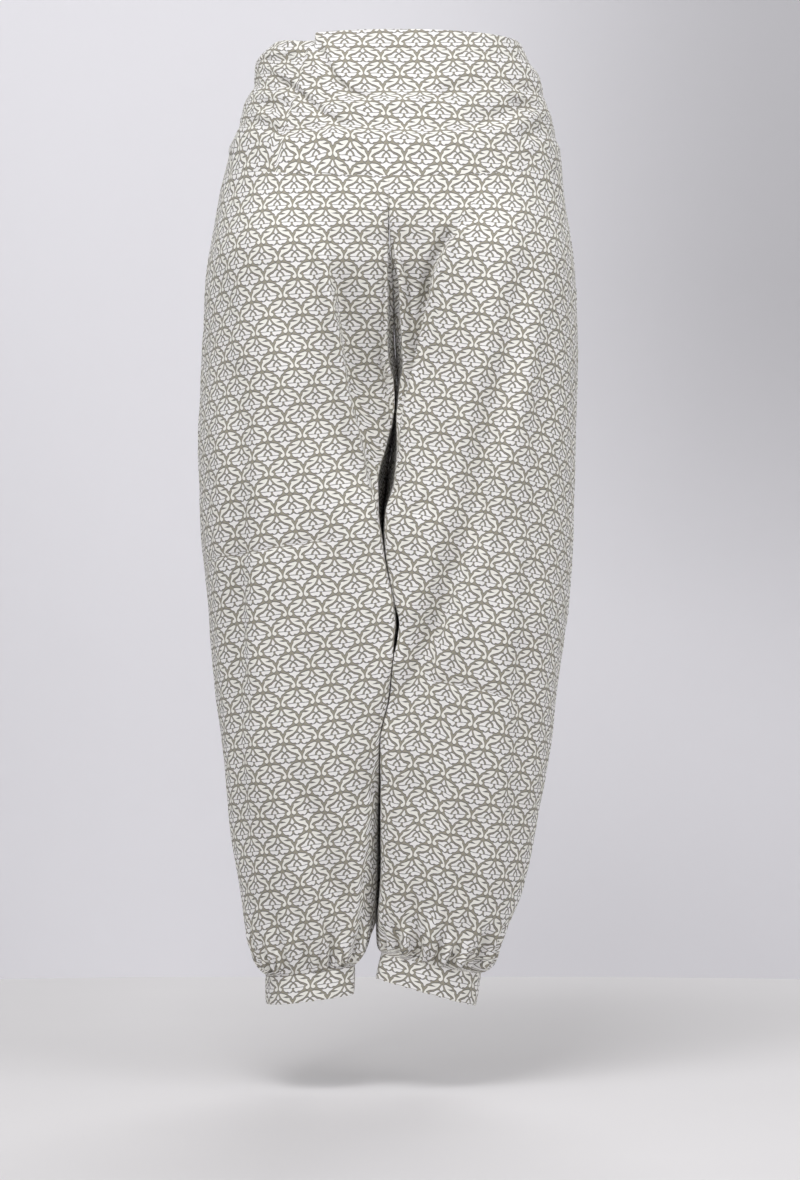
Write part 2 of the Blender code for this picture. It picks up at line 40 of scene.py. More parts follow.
# The casing, the cuffs and the places of the main seams, as in the solids
CASING_HEIGHT = 19.0
CUFF_HEIGHT = 27.0
YOKE_SEAM_Z = -130.0
YOKE_SEAM_SIDE_Z = -116.0
YOKE_SEAM_CENTRE_Z = -140.0
CROTCH_Z = -450.0
CUFF_SEAM_Z = -874.0
CENTRE_SEAM_X = -7.4
INSEAM_Y = 4.0
WAIST_CENTRE = (0.0, 0.0)

# The garment's outer limits at each level: its outline from behind and from the side
OUTLINE_COLUMNS = ("z", "left", "right", "back", "front")
OUTLINE = (
    (0, -117.0, 118.0, -91.0, 92.0),
    (-12, -129.0, 123.5, -95.0, 94.0),
    (-33, -134.0, 134.0, -102.0, 98.0),
    (-52, -139.0, 141.0, -108.0, 101.0),
    (-71, -146.0, 145.0, -114.0, 103.0),
    (-109, -157.0, 154.5, -125.0, 107.0),
    (-147, -166.0, 158.5, -134.0, 110.0),
    (-185, -173.5, 164.5, -139.5, 112.0),
    (-222, -180.0, 169.0, -140.5, 113.0),
    (-300, -183.5, 171.0, -136.0, 115.0),
    (-375, -188.0, 169.5, -130.0, 117.0),
    (-450, -186.0, 167.5, -123.0, 118.0),
    (-527, -179.5, 163.0, -115.0, 116.0),
    (-600, -174.0, 154.0, -105.0, 110.0),
    (-680, -164.0, 143.5, -93.0, 100.0),
    (-750, -157.0, 131.0, -79.0, 88.0),
    (-800, -148.5, 118.0, -68.0, 77.0),
    (-838, -141.0, 101.0, -58.5, 67.0),
    (-860, -134.0, 90.0, -51.5, 59.0),
    (-874, -124.5, 80.0, -45.0, 50.0),
)

# Where the two legs meet: the inner limit of each at its back, how square its folded back edge
# is, how deep that edge's rounding reaches as a share of the leg's depth, and how far its inner
# side moves towards +X over 100 mm of depth
INNER_COLUMNS = ("z", "left", "right", "left_square", "right_square", "rounding", "slant")
INNER = (
    (-130, -8.2, -6.6, 0.60, 0.45, 0.35, 0.0),
    (-170, -8.8, -5.6, 0.46, 0.40, 0.35, 0.0),
    (-200, -9.0, -3.2, 0.34, 0.36, 0.36, 0.0),
    (-240, -9.0, 1.6, 0.22, 0.38, 0.48, 0.0),
    (-270, -8.4, 3.4, 0.18, 0.42, 0.50, 0.0),
    (-298, -7.8, 5.0, 0.16, 0.44, 0.48, 0.0),
    (-312, -6.0, 5.4, 0.16, 0.46, 0.46, 0.0),
    (-326, -3.0, 2.6, 0.18, 0.48, 0.44, 0.0),
    (-344, -2.4, 0.6, 0.22, 0.50, 0.40, 0.0),
    (-358, -3.4, -0.8, 0.26, 0.54, 0.38, 0.0),
    (-384, -10.0, -0.2, 0.34, 0.60, 0.32, 0.0),
    (-417, -17.2, -2.6, 0.48, 0.70, 0.24, 0.0),
    (-446, -16.5, -10.6, 0.66, 0.76, 0.17, 0.0),
    (-468, -13.6, -12.2, 0.74, 0.80, 0.14, 0.5),
    (-500, -9.2, -8.5, 0.80, 0.84, 0.11, 5.0),
    (-530, -3.3, -2.7, 0.84, 0.86, 0.09, 7.0),
    (-548, -2.2, 0.8, 0.84, 0.82, 0.12, 7.0),
    (-562, -3.3, -0.5, 0.84, 0.82, 0.12, 7.0),
    (-582, -4.5, -3.9, 0.84, 0.88, 0.09, 7.0),
    (-610, -7.0, -6.4, 0.82, 0.88, 0.10, 7.0),
    (-660, -17.5, -16.9, 0.72, 0.88, 0.13, 8.0),
    (-700, -19.2, -17.2, 0.60, 0.88, 0.24, 9.0),
    (-770, -21.4, -17.8, 0.54, 0.88, 0.40, 9.0),
    (-815, -22.0, -18.8, 0.50, 0.88, 0.54, 7.0),
    (-836, -22.4, -19.2, 0.50, 0.86, 0.56, 4.0),
    (-849, -27.0, -17.5, 0.54, 0.76, 0.46, 2.0),
    (-862, -32.0, -15.0, 0.56, 0.65, 0.40, 0.0),
    (-874, -40.6, -14.0, 0.56, 0.56, 0.35, 0.0),
)

# How far the centre seams sink in between the legs, from 0 at the yoke to 1 at the crotch
SINK_COLUMNS = ("z", "share")
SINK = (
    (-130, 0.0),
    (-175, 0.05),
    (-230, 0.22),
    (-290, 0.47),
    (-350, 0.71),
    (-400, 0.88),
    (-450, 1.0),
)

# Creases, each along a path of (x, z) points as seen from straight behind or in front. left and
# right are the widths of its two slopes, or the lower and upper one where the path is level. A
# negative depth is a ridge.
FOLD_COLUMNS = ("face", "path", "left", "right", "depth")
LEG_FOLDS = (
    # the left leg's back
    (-1, ((-70, -205), (-60, -274), (-48, -332), (-36, -381), (-28, -417), (-21, -470)), 6, 6, -4.0),
    (-1, ((-68, -190), (-59, -262), (-48, -330), (-36, -385), (-28, -425)), 8, 6, -5.0),
    (-1, ((-58, -205), (-48, -254), (-35, -330), (-25, -385), (-20, -425)), 8, 19, 11.0),
    (-1, ((-108, -234), (-88, -299), (-67, -374), (-45, -444)), 14, 12, 5.0),
    (-1, ((-144, -320), (-146, -435), (-150, -563), (-150, -690), (-143, -780)), 10, 10, 7.5),
    (-1, ((-89, -690), (-66, -765), (-56, -812), (-50, -856)), 12, 10, 5.5),
    (-1, ((-105, -730), (-69, -862)), 11, 10, -1.8),
    (-1, ((-70, -805), (-62, -843), (-57, -868)), 5, 4, 4.0),
    (-1, ((-165, -215), (-160, -290), (-166, -360)), 10, 10, 3.0),
    (-1, ((-118, -800), (-110, -860)), 7, 6, 3.5),
    (-1, ((-96, -300), (-80, -352), (-70, -420)), 10, 10, -2.0),
    (-1, ((-28, -715), (-34, -765), (-39, -805), (-43, -848)), 4, 9, -4.5),
    # the right leg's back
    (-1, ((54, -185), (42, -201), (32, -220), (22, -254), (15, -284), (9, -312), (2, -345),
          (-6, -385)), 42, 4.5, 15.0),
    (-1, ((128, -190), (120, -232), (111, -262), (105, -296), (87, -355), (77, -398), (70, -449),
          (57, -482), (43, -518), (30, -552), (16, -592), (2, -636), (-12, -700)), 13, 12, 11.5),
    (-1, ((62, -470), (45, -520), (30, -560), (14, -605)), 9, 12, 5.0),
    (-1, ((145, -165), (137, -252), (136, -326), (131, -390), (126, -471), (121, -545)), 9, 11, 2.6),
    (-1, ((122, -500), (118, -563), (118, -636), (114, -698), (110, -775)), 10, 10, 5.5),
    (-1, ((30, -432), (12, -452)), 7, 7, 3.5),
    (-1, ((76, -172), (67, -184), (61, -202)), 5, 4, 3.0),
    (-1, ((70, -177), (56, -186), (44, -202), (35, -222)), 6, 3.5, 4.5),
    (-1, ((46, -194), (30, -222), (19, -258), (12, -288), (4, -326)), 4, 3.5, 6.0),
    (-1, ((64, -730), (60, -790), (54, -858)), 12, 11, 5.5),
    (-1, ((64, -800), (66, -838), (62, -868)), 5, 5, 4.0),
    (-1, ((52, -812), (49, -843), (42, -868)), 4, 5, 3.5),
    (-1, ((86, -835), (80, -866)), 6, 5, 3.5),
    (-1, ((84, -250), (78, -330), (60, -410)), 13, 13, -2.0),
    (-1, ((12, -800), (6, -850)), 7, 7, 3.0),
    # the fronts
    (1, ((-60, -160), (-46, -250), (-38, -340)), 12, 15, 8.0),
    (1, ((58, -156), (38, -250), (26, -356)), 15, 11, 9.0),
    (1, ((-125, -215), (-92, -345), (-70, -480)), 13, 15, 8.0),
    (1, ((118, -232), (86, -360), (70, -490)), 15, 12, 8.0),
    (1, ((-80, -515), (-84, -640), (-97, -768)), 11, 13, 6.5),
    (1, ((92, -496), (72, -620), (60, -745)), 13, 11, 6.5),
    (1, ((-30, -636), (-40, -740), (-62, -838)), 12, 10, 5.0),
    (1, ((-148, -330), (-140, -500), (-142, -650)), 9, 9, 5.5),
    (1, ((140, -280), (133, -430), (120, -600)), 9, 10, 6.0),
    (1, ((36, -640), (40, -740), (32, -840)), 10, 10, 4.5),
    (1, ((-88, -200), (-66, -300), (-58, -380)), 9, 9, -3.0),
    (1, ((84, -210), (64, -320), (54, -400)), 9, 9, -3.0),
)

# Creases on the outer sides of the legs, with paths of (y, z) points as seen from the side
SIDE_FOLDS = {
    "left": (
        (1, ((-40, -170), (-22, -330), (-30, -500)), 12, 10, 3.5),
        (1, ((30, -190), (24, -360), (36, -560)), 11, 13, 4.0),
        (1, ((0, -520), (-6, -680), (4, -820)), 10, 10, 3.0),
    ),
    "right": (
        (1, ((36, -165), (18, -300), (24, -470)), 12, 11, 4.0),
        (1, ((-28, -240), (-18, -420), (-30, -600)), 10, 12, 3.5),
        (1, ((8, -560), (0, -700), (6, -825)), 11, 9, 3.5),
    ),
}

# The waist slumps: swags hang from its top edge, and low ledges cross the yoke under them
YOKE_FOLDS = (
    (-1, ((-131, -27), (-98, -53), (-66, -82), (-44, -94)), 4.5, 3.5, 4.6),
    (-1, ((-75, -7), (-63, -36), (-47, -57), (-18, -72)), 5, 3, 4.8),
    (-1, ((20, -80), (34, -70), (56, -58), (86, -50)), 6, 7, 3.0),
    (-1, ((72, -89), (102, -78), (131, -58)), 6, 8, 4.2),
    (-1, ((-66, -73), (-24, -70), (10, -68), (58, -65)), 18, 5, -2.6),
    (-1, ((-112, -103), (-60, -99), (-20, -101), (22, -103), (60, -99), (98, -96)), 18, 5, -2.4),
    (-1, ((-22, -82), (3, -84), (26, -81)), 8, 6, 1.6),
    (-1, ((-130, -46), (-116, -51), (-98, -48)), 4, 5, 3.5),
    (-1, ((-137, -60), (-118, -68), (-96, -70)), 5, 5, 3.0),
    (-1, ((-134, -18), (-112, -24), (-88, -22)), 4, 4, 3.0),
    (-1, ((-140, -80), (-120, -90), (-104, -97)), 5, 5, 3.0),
    (-1, ((110, -102), (128, -93), (142, -80)), 5, 6, 2.8),
    (-1, ((96, -40), (114, -50), (132, -48)), 5, 5, 3.5),
    (-1, ((104, -62), (120, -68), (136, -68)), 4, 5, 3.0),
    (1, ((-114, -34), (-70, -66), (-18, -82)), 8, 9, 5.0),
    (1, ((6, -82), (60, -68), (110, -40)), 8, 9, 5.0),
    (1, ((-90, -98), (-20, -102), (30, -102), (92, -97)), 16, 6, -5.0),
    (1, ((-60, -44), (0, -56), (52, -48)), 13, 5, -4.0),
)

# Ridges of bunched cloth round the waist's sides, with paths of (y, z) points as seen from the side
WAIST_FOLDS = {
    "left": (
        (1, ((-60, -10), (-20, -18), (30, -14), (60, -10)), 10, 6, -2.2),
        (1, ((-70, -44), (-20, -41), (40, -38)), 4, 4, 1.3),
        (1, ((-78, -60), (-30, -54), (36, -58)), 8, 6, -1.6),
        (1, ((-80, -84), (-24, -78), (40, -82)), 4, 4, 1.5),
        (1, ((-70, -100), (-10, -96), (50, -102)), 8, 7, -2.0),
    ),
    "right": (
        (1, ((-64, -24), (-20, -30), (40, -24)), 8, 6, -1.8),
        (1, ((-74, -52), (-16, -50), (44, -46)), 4, 4, 1.6),
        (1, ((-80, -72), (-24, -68), (40, -70)), 8, 6, -1.6),
        (1, ((-76, -96), (-16, -90), (44, -94)), 5, 5, 1.5),
    ),
}

# Creases that hide a little of the print's length: each along a path, with how much it hides, how
# deep it is nipped, and how far to either side the hiding spreads. The legs have pressed creases,
# and the yoke soft slumps that squash its rows of print.
TUCK_COLUMNS = ("face", "path", "hidden", "depth", "soft")
LEG_TUCKS = (
    (-1, ((-196, -494), (-177, -490), (-129, -481), (-76, -473), (-41, -469)), 5.0, 2.2, 0.7),
    (-1, ((28, -600), (67, -606), (102, -616), (118, -626)), 4.0, 2.0, 0.7),
    (1, ((-150, -470), (-90, -462), (-40, -466)), 4.0, 1.2, 0.7),
)
YOKE_TUCKS = (
    (-1, ((-70, -70), (-40, -66), (-8, -64), (26, -64), (64, -58)), 8.0, 0.6, 8.0),
    (-1, ((-116, -98), (-70, -93), (-24, -96), (22, -98), (62, -93), (104, -88)), 8.0, 0.6, 8.0),
)
TUCK_REACH = 2.2
TUCK_FULL_FROM = 0.05
TUCK_FADES_FROM = 0.75
TUCK_PRINT_NEAR = 12.0
TUCK_PRINT_FAR = 60.0

# The top edge dips beside a small tuck at the back, and the cloth steps in there down to its foot
NOTCH_X = -75.0
NOTCH_WIDTH = 22.0
NOTCH_DIP = 6.5
NOTCH_STEP = 2.2
# Where the dip and the step start and end, in widths of the notch from its place
DIP_STARTS = (0.0, 0.12)
DIP_ENDS = (2.0, 0.3)
STEP_STARTS = (0.0, 0.15)
STEP_ENDS = (2.2, 0.4)
NOTCH_FULL_Z = -5.0
NOTCH_FOOT_Z = -45.0

# Each leg's lower end: how much the cuff's seam and hem rise towards the other leg, how far the
# seam lies above its nominal level, how much higher the back is than the front, and where the
# hem's middle lies and how wide it is to either side
CUFF_COLUMNS = ("seam_rise", "hem_rise", "lift", "back_lift", "hem_x", "hem_half_width")
CUFFS = {
    "left": (0.131, 0.131, -2.6, 1.0, -82.4, 42.0),
    "right": (0.210, 0.280, 3.0, 3.0, 27.8, 47.5),
}
CUFF_TILT_REACH = 150.0
CUFF_HALF_DEPTH = 45.0
HEM_DEPTH_SHARE = 0.97

# How a cross-section is shaped, and how far below the yoke it has its own shape and level rows
CREST_SHARE = 0.5
FULLNESS = 0.6
LEAST_ROUNDING = 9.0
SEAM_HANDLE = 0.4
TOP_BLEND = 78.0
TOP_LEVEL_REACH = 160.0
ARC_STEPS = 90
NORMAL_REACH = 1.5

# How a fold is shaped: the rim beside its trough, how far it reaches, how it runs out at its ends,
# how uneven its depth is, and how squarely the cloth faces outwards where it fades in
RIM_SHARE = 0.22
RIM_PLACE = 1.9
RIM_SHARPNESS = 2.0
FOLD_REACH = 3.2
RUN_OUT = 0.03
RUN_OUT_POWER = 0.6
UNEVEN_DEPTH = 0.18
UNEVEN_TURNS = 2.3
FACING_LOW = 0.25
FACING_HIGH = 0.7
PATH_STEPS = 6

# How far from each seam the folds start, and the share of them that reaches the top edge
FOLDS_BELOW_YOKE = 18.0
FOLDS_ABOVE_CUFF = 18.0
FOLDS_BESIDE_SEAM = 6.0
FOLDS_ABOVE_YOKE_SEAM = 14.0
FOLDS_BELOW_TOP = 12.0
TOP_FOLDS = 0.15

# Gathers above a cuff, coarse ones first: how many, how deep, how far above the seam they are
# deepest, how far they reach, and how much their spacing wanders and from which start
GATHER_COLUMNS = ("count", "depth", "peak", "reach", "wander", "phase")
GATHERS = (
    (17, 4.0, 13.0, 64.0, 1.3, 0.0),
    (29, 3.3, 8.0, 40.0, 2.2, 1.1),
    (47, 1.5, 5.0, 26.0, 2.1, 2.3),
)
# How often round the leg their spacing and their depth waver, how unevenly deep they are, how they
# lean over with height, the middle of their wave, and how much all of them are drawn up
WANDER_TURNS = 3
FINE_WANDER_TURNS = 7
UNEVEN_GATHERS = 0.3
UNEVEN_GATHER_TURNS = 5
GATHER_LEAN = 0.02
WAVE_MIDDLE = 0.64
LEAST_DRAWN = 0.75
# Where round each cuff they are drawn up most: a place from 0 to 1, its width and the extra depth
PINCH_COLUMNS = ("place", "width", "extra")
PINCHES = {
    "left": ((0.15, 0.05, 1.2), (0.44, 0.08, 0.9), (0.72, 0.1, 0.6)),
    "right": ((0.28, 0.1, 1.6), (0.44, 0.07, 1.5), (0.06, 0.04, 0.8), (0.7, 0.1, 0.6)),
}

# The dip of the cloth at a seam and the small puckers beside it, and the shares of them at the
# yoke's seam and at the casing's stitch line
SEAM_DIP = 0.9
SEAM_REACH = 3.2
PUCKER_DEPTH = 0.28
PUCKER_PITCH = 8.5
PUCKER_REACH = 9.0
PUCKER_DRIFT = 2.0
PUCKER_DRIFT_LENGTH = 23.0
YOKE_SEAM_DIP = 0.3
CASING_DIP = 1.1
CASING_NARROWNESS = 1.6

# The cloth's thickness, how far in its edges turn at a seam, and how far inside a folded edge
# the second layer lies
CLOTH = 0.5
LIP_STEPS = (1.1, 2.6)
INNER_LAYER = 1.5
EDGE_RADIUS = INNER_LAYER / 2
SHARP_ANGLE = math.radians(70.0)
WELD_DISTANCE = 1e-7

# How a cuff's band swells and ripples
CUFF_SWELL = 0.35
CUFF_RIPPLES = 31
CUFF_RIPPLE_DEPTH = 0.28

# Small unevenness of soft cloth: lump sizes across and down, height and seed. Each panel takes
# another stretch of it.
CRUMPLES = (
    (34.0, 60.0, 0.85, 11),
    (17.0, 26.0, 0.44, 12),
    (8.0, 10.0, 0.17, 13),
)
NOISE_CELLS = 64
CRUMPLE_FACE_SHIFT = 90.0
CRUMPLE_SIDE_SHIFT = 200.0
CRUMPLE_YOKE_SHIFT = 400.0

# How finely each piece is made, at the back (-1) and at the front (1) where they differ
LEG_COLUMNS = {-1: 168, 1: 120}
LEG_ROW_STEP = {-1: 2.8, 1: 3.6}
GATHER_ROW_STEP = {-1: 1.7, 1: 2.2}
GATHER_ZONE = 62.0
YOKE_COLUMNS = {-1: 250, 1: 170}
YOKE_ROWS = {-1: 66, 1: 46}
CASING_ROWS = 16
CASING_INNER_ROWS = 8
EDGE_ROWS = 5
CUFF_COLUMNS_ROUND = 200
CUFF_ROWS = 16

# Where a shell's outside and inside lie on the square map for baking, and how wide its rim is there
OUTSIDE_MAP_CORNER = (0.008, 0.010)
OUTSIDE_MAP_SIZE = (0.690, 0.980)
INSIDE_MAP_CORNER = (0.715, 0.010)
INSIDE_MAP_SIZE = (0.277, 0.980)
RIM_MAP_WIDTH = 0.004

# The print: an ogee lattice whose motifs stand in staggered rows
PRINT_WIDTH = 33.0
PRINT_HEIGHT = 32.4
# Where its grid falls at each level of a panel: across (u) and down (v) at the crest, and how it
# spreads, falls and curves over each 100 mm towards +X. The rows were worked out by a fit to the
# print's repeats in the photograph, and rounded to whole numbers.
GRAIN_COLUMNS = ("z", "u", "spread", "v", "fall", "curve")
GRAIN = {
    "left": (
        (-115, 15, 105, -48, 2, -4),
        (-150, 8, 105, -17, 3, -5),
        (-250, -8, 106, 77, 6, -4),
        (-350, -25, 104, 178, 9, -1),
        (-450, -41, 101, 278, 11, 0),
        (-550, -40, 102, 379, 12, 1),
        (-650, -53, 103, 476, 12, 2),
        (-750, -60, 104, 572, 11, 2),
        (-860, -67, 106, 680, 9, 1),
    ),
    "right": (
        (-115, -43, 102, -64, -3, -5),
        (-150, -35, 103, -33, -5, -6),
        (-250, -7, 105, 61, -9, -5),
        (-350, 16, 105, 162, -14, -4),
        (-450, 30, 104, 262, -17, -2),
        (-550, 58, 104, 358, -17, 0),
        (-650, 64, 104, 456, -16, 2),
        (-750, 75, 105, 553, -13, 4),
        (-860, 78, 106, 653, -6, 6),
    ),
    "yoke": (
        (-5, -34, 99, -80, 2, 5),
        (-45, -36, 99, -32, -2, 2),
        (-85, -40, 100, 14, -2, 3),
        (-130, -40, 100, 61, 0, 0),
    ),
}
# Where it starts on each cuff
CUFF_PRINT = {"left": (62.0, -1.0), "right": (16.5, 0.8)}

# One motif of the print, charted from the repeats in the photograph: its white and its cream
# shapes, each between an upper and a lower edge as (x, y) points, y down from the tip. It is
# mirrored about x = 0.
WHITE_SHAPES = {
    "drop": (
        ((0, 0.3), (0.5, 1.4), (1, 2.4), (1.5, 3.4), (1.75, 3.9)),
        ((0, 5.4), (0.5, 5.3), (1, 5.0), (1.5, 4.4), (1.75, 3.8)),
    ),
    "wing": (
        ((1.4, 6.2), (2.5, 5.9), (3.5, 6.0), (4.5, 6.5), (5.5, 7.2), (6.6, 8.2), (8, 8.7),
         (9.5, 9.2), (10.5, 9.9)),
        ((1.4, 6.3), (2, 6.8), (3, 7.6), (3.8, 8.8), (4.2, 9.9), (4.6, 10.6), (10, 10.6),
         (10.5, 10.2)),
    ),
    "dome": (
        ((0, 7.7), (0.6, 8.0), (1.3, 8.8), (2, 9.8), (2.3, 10.6)),
        ((0, 10.8), (1.5, 10.95), (2.3, 10.6)),
    ),
    "petal": (
        ((1, 12.6), (1.2, 11.8), (1.5, 11.65), (9.4, 11.65), (10, 11.9)),
        ((1, 12.6), (1.4, 13.6), (2.4, 14.6), (3.4, 15.0), (4.2, 14.8), (5, 14.0), (5.8, 14.1),
         (7.3, 14.2), (8.5, 13.7), (9.6, 12.6), (10, 11.9)),
    ),
    "star": (
        ((0, 14.8), (0.8, 15.5), (2.2, 16.1), (3.8, 16.2), (5.2, 16.3)),
        ((0, 21.3), (0.6, 20.8), (1, 19.8), (1.6, 18.8), (2.8, 18.1), (4.2, 17.4), (5.2, 16.2)),
    ),
}
CREAM_SHAPES = {
    "leaf": (
        ((2, 0.1), (3, -0.3), (4, -0.25), (6, 0.2), (8, 0.7), (9.5, 1.3), (10.3, 1.9)),
        ((2, 0.1), (3, 1.5), (4, 2.1), (5, 2.4), (6.4, 2.75), (7, 2.5), (8.5, 2.25), (10.3, 1.8)),
    ),
    "scroll": (
        ((2, 0.2), (3, 0.5), (4, 1.5), (5, 2.9), (6.4, 3.5), (7, 3.6), (8, 3.8), (10, 4.1),
         (12, 4.05), (12.9, 4.3), (13.3, 5.0), (13.5, 6.2), (14.2, 7.1), (15.2, 8.6),
         (15.7, 10.2), (15.9, 11.1)),
        ((2, 0.2), (2.8, 1.6), (3.8, 3.0), (5, 4.2), (6.5, 5.3), (8.5, 6.2), (10.5, 6.9),
         (12.2, 7.8), (13.3, 8.6), (14.0, 9.5), (14.15, 13.4), (15.1, 12.8), (15.7, 12.0),
         (15.9, 11.1)),
    ),
    "bulb": (
        ((11.9, 12.0), (12.2, 11.3), (12.8, 10.8), (13.6, 10.5), (14.2, 10.2)),
        ((11.9, 12.1), (12.3, 12.9), (13, 13.3), (14.2, 13.4)),
    ),
}
# The chart's range, how far a motif reaches above its own grid line, and how its shapes close
# beyond their last points
CHART_LOW = -6.0
CHART_HIGH = 26.0
CHART_LEAD = 2.0
CLOSED_BY = 4.0
CLOSED_WITHIN = 0.35
# How soft the print's edges are, how far the white and the cream spread past the charted edges,
# and the width and fade of the grey line round them
PRINT_SOFTNESS = 0.2
PRINT_BLUR = 0.175
CREAM_SOFTNESS = 0.1
WHITE_GROWTH = 0.24
CREAM_GROWTH = 0.27
OUTLINE_DEPTH = 0.5
OUTLINE_FADE = 0.45

# The cloth's surface: its weave and slubs, its faint darker patches, how pale its reverse is and
# its range of roughness
WEAVE_PITCH = 0.62
SLUB_SHARE = 0.6
PATCH_SHADE = 0.95
REVERSE_PALENESS = 0.55
COTTON_ROUGHNESS = (0.78, 0.92)

# Colours, as sRGB out of 255
WHITE = (239, 237, 236)
CREAM = (238, 236, 230)
KHAKI = (152, 147, 133)
LINE_GREY = (102, 100, 98)
THREAD = (232, 229, 218)
FLOOR_GREY = (213, 211, 213)
WALL_GREY = (222, 221, 226)

# Stitches of the casing line
STITCH_PITCH = 2.6
STITCH_LENGTH = 2.1
STITCH_HALF_WIDTH = 0.26
STITCH_LIFT = 0.1
STITCH_SINK = 0.35
STITCH_END_SHARE = 0.35
STITCH_SIDES = 6
STITCH_RINGS = 5
STITCH_LINE_POINTS = 2001

# The camera stands straight behind the garment, for a frame of 800 by 1180
CAMERA_AT = (0.00304, -3.0, -0.517)
CAMERA_LENS = 96.34
SENSOR = 36.0

# A floor, and a wall round it with painted shade, darker between these places to one side and up
FLOOR_Z = -0.990
FLOOR_HALF_WIDTH = 9.0
ROOM_HALF_WIDTH = 0.86
ROOM_SQUARENESS = 4.0
ROOM_HEIGHT = 3.0
ROOM_SIDES = 128
WALL_PAINTED_SHADE = 0.38
PAINTED_SHADE_ACROSS = (-0.1, 0.5)
PAINTED_SHADE_UPWARDS = (-0.8, -0.1)

# The lamps, all turned to one point
LIT_POINT = (0.0, 0.0, -0.45)
LIGHT_COLUMNS = ("name", "place", "size", "power")
LIGHTS = (
    ("Key", (-0.45, -1.45, 1.7), (1.1, 1.1), 37.0),
    ("Left fill", (-2.0, -1.9, 0.4), (1.6, 2.2), 19.5),
    ("Right fill", (2.0, -1.6, 0.4), (1.6, 2.2), 28.0),
    ("Top fill", (-0.1, -0.7, 1.1), (0.8, 0.8), 1.3),
    ("Back fill", (0.6, 3.2, 1.2), (2.4, 2.0), 62.0),
)
STUDIO_WHITE = (1.0, 0.995, 1.0, 1.0)
STUDIO_STRENGTH = 0.285


def smoothstep(low, high, value):
    share = np.clip((np.asarray(value, float) - low) / (high - low), 0.0, 1.0)
    return share * share * (3.0 - 2.0 * share)


def named(columns, row):
    return dict(zip(columns, row))


def column(table, columns, name, z):
    """A table's column at level z, on a smooth curve through its rows."""
    levels = -np.array([row[0] for row in table], float)
    values = np.array([row[columns.index(name)] for row in table], float)
    rises = np.diff(values) / np.diff(levels)
    joint = np.maximum(rises[:-1] * rises[1:], 0.0)
    between = 2 * joint / np.where(joint > 0, rises[:-1] + rises[1:], 1.0)
    slopes = np.concatenate([rises[:1], between, rises[-1:]])
    level = np.clip(-np.asarray(z, float), levels[0], levels[-1])
    i = np.clip(np.searchsorted(levels, level) - 1, 0, len(levels) - 2)
    span = levels[i + 1] - levels[i]
    t = (level - levels[i]) / span
    return (
        values[i] * (1 + 2 * t) * (1 - t) ** 2
        + slopes[i] * span * t * (1 - t) ** 2
        + values[i + 1] * t * t * (3 - 2 * t)
        + slopes[i + 1] * span * t * t * (t - 1)
    )


def outline(name, z):
    return float(column(OUTLINE, OUTLINE_COLUMNS, name, z))


def crest_y(face, z):
    return outline("back" if face < 0 else "front", z)


def inner(name, z):
    return float(column(INNER, INNER_COLUMNS, name, z))


def arc(start, start_handle, end_handle, end, steps=ARC_STEPS):
    """A cubic arc between two points, as a polyline."""
    t = np.linspace(0.0, 1.0, steps + 1)[:, None]
    points = [np.array(point, float) for point in (start, start_handle, end_handle, end)]
    weights = ((1 - t) ** 3, 3 * t * (1 - t) ** 2, 3 * t * t * (1 - t), t**3)
    return sum(weight * point for weight, point in zip(weights, points))


def quarter(start, end):
    """A quarter of an oval, from its crest to its side."""
    start_handle = (start[0] + FULLNESS * (end[0] - start[0]), start[1])
    end_handle = (end[0], end[1] + FULLNESS * (start[1] - end[1]))
    return arc(start, start_handle, end_handle, end)


def lengths_along(line):
    return np.concatenate([[0.0], np.cumsum(np.linalg.norm(np.diff(line, axis=0), axis=1))])


def at_lengths(line, wanted):
    """Points of a polyline at the given lengths along it, and straight on past its ends."""
    along = lengths_along(line)
    points = np.stack([np.interp(wanted, along, line[:, k]) for k in range(2)], axis=1)
    first = (line[1] - line[0]) / max(along[1], 1e-6)
    last = (line[-1] - line[-2]) / max(along[-1] - along[-2], 1e-6)
    before = np.minimum(wanted, 0.0)[:, None]
    after = np.maximum(wanted - along[-1], 0.0)[:, None]
    return points + before * first + after * last


def level_normals(line, wanted, turn):
    """Unit normals of a polyline in its plane, to its right or, where turn is -1, its left."""
    ahead = at_lengths(line, wanted + NORMAL_REACH) - at_lengths(line, wanted - NORMAL_REACH)
    ahead /= np.maximum(np.linalg.norm(ahead, axis=1), 1e-6)[:, None]
    return np.stack([ahead[:, 1], -ahead[:, 0]], axis=1) * turn


def waist_half(side, face, z):
    """A quarter of the garment's ring, from the centre seam to the side seam."""
    centre_x = CENTRE_SEAM_X * float(smoothstep(0.0, -YOKE_SEAM_Z, -z))
    return quarter((centre_x, crest_y(face, z)), (outline(side, z), 0.0))


def centre_seam_y(face, z):
    """The centre seam's depth: it sinks between the legs, down to the crotch."""
    crest = crest_y(face, z)
    return crest + (INSEAM_Y - crest) * float(column(SINK, SINK_COLUMNS, "share", z))


def inner_seam_x(side, z):
    """The leg's inner edge: against the other leg's along the centre seam, and clear below it."""
    own = inner(side, z)
    shared = (inner("left", z) + inner("right", z)) / 2 + SIDES[side] * SEAM_GAP / 2
    return own + (shared - own) * float(smoothstep(CROTCH_Z - 30.0, CROTCH_Z, z))


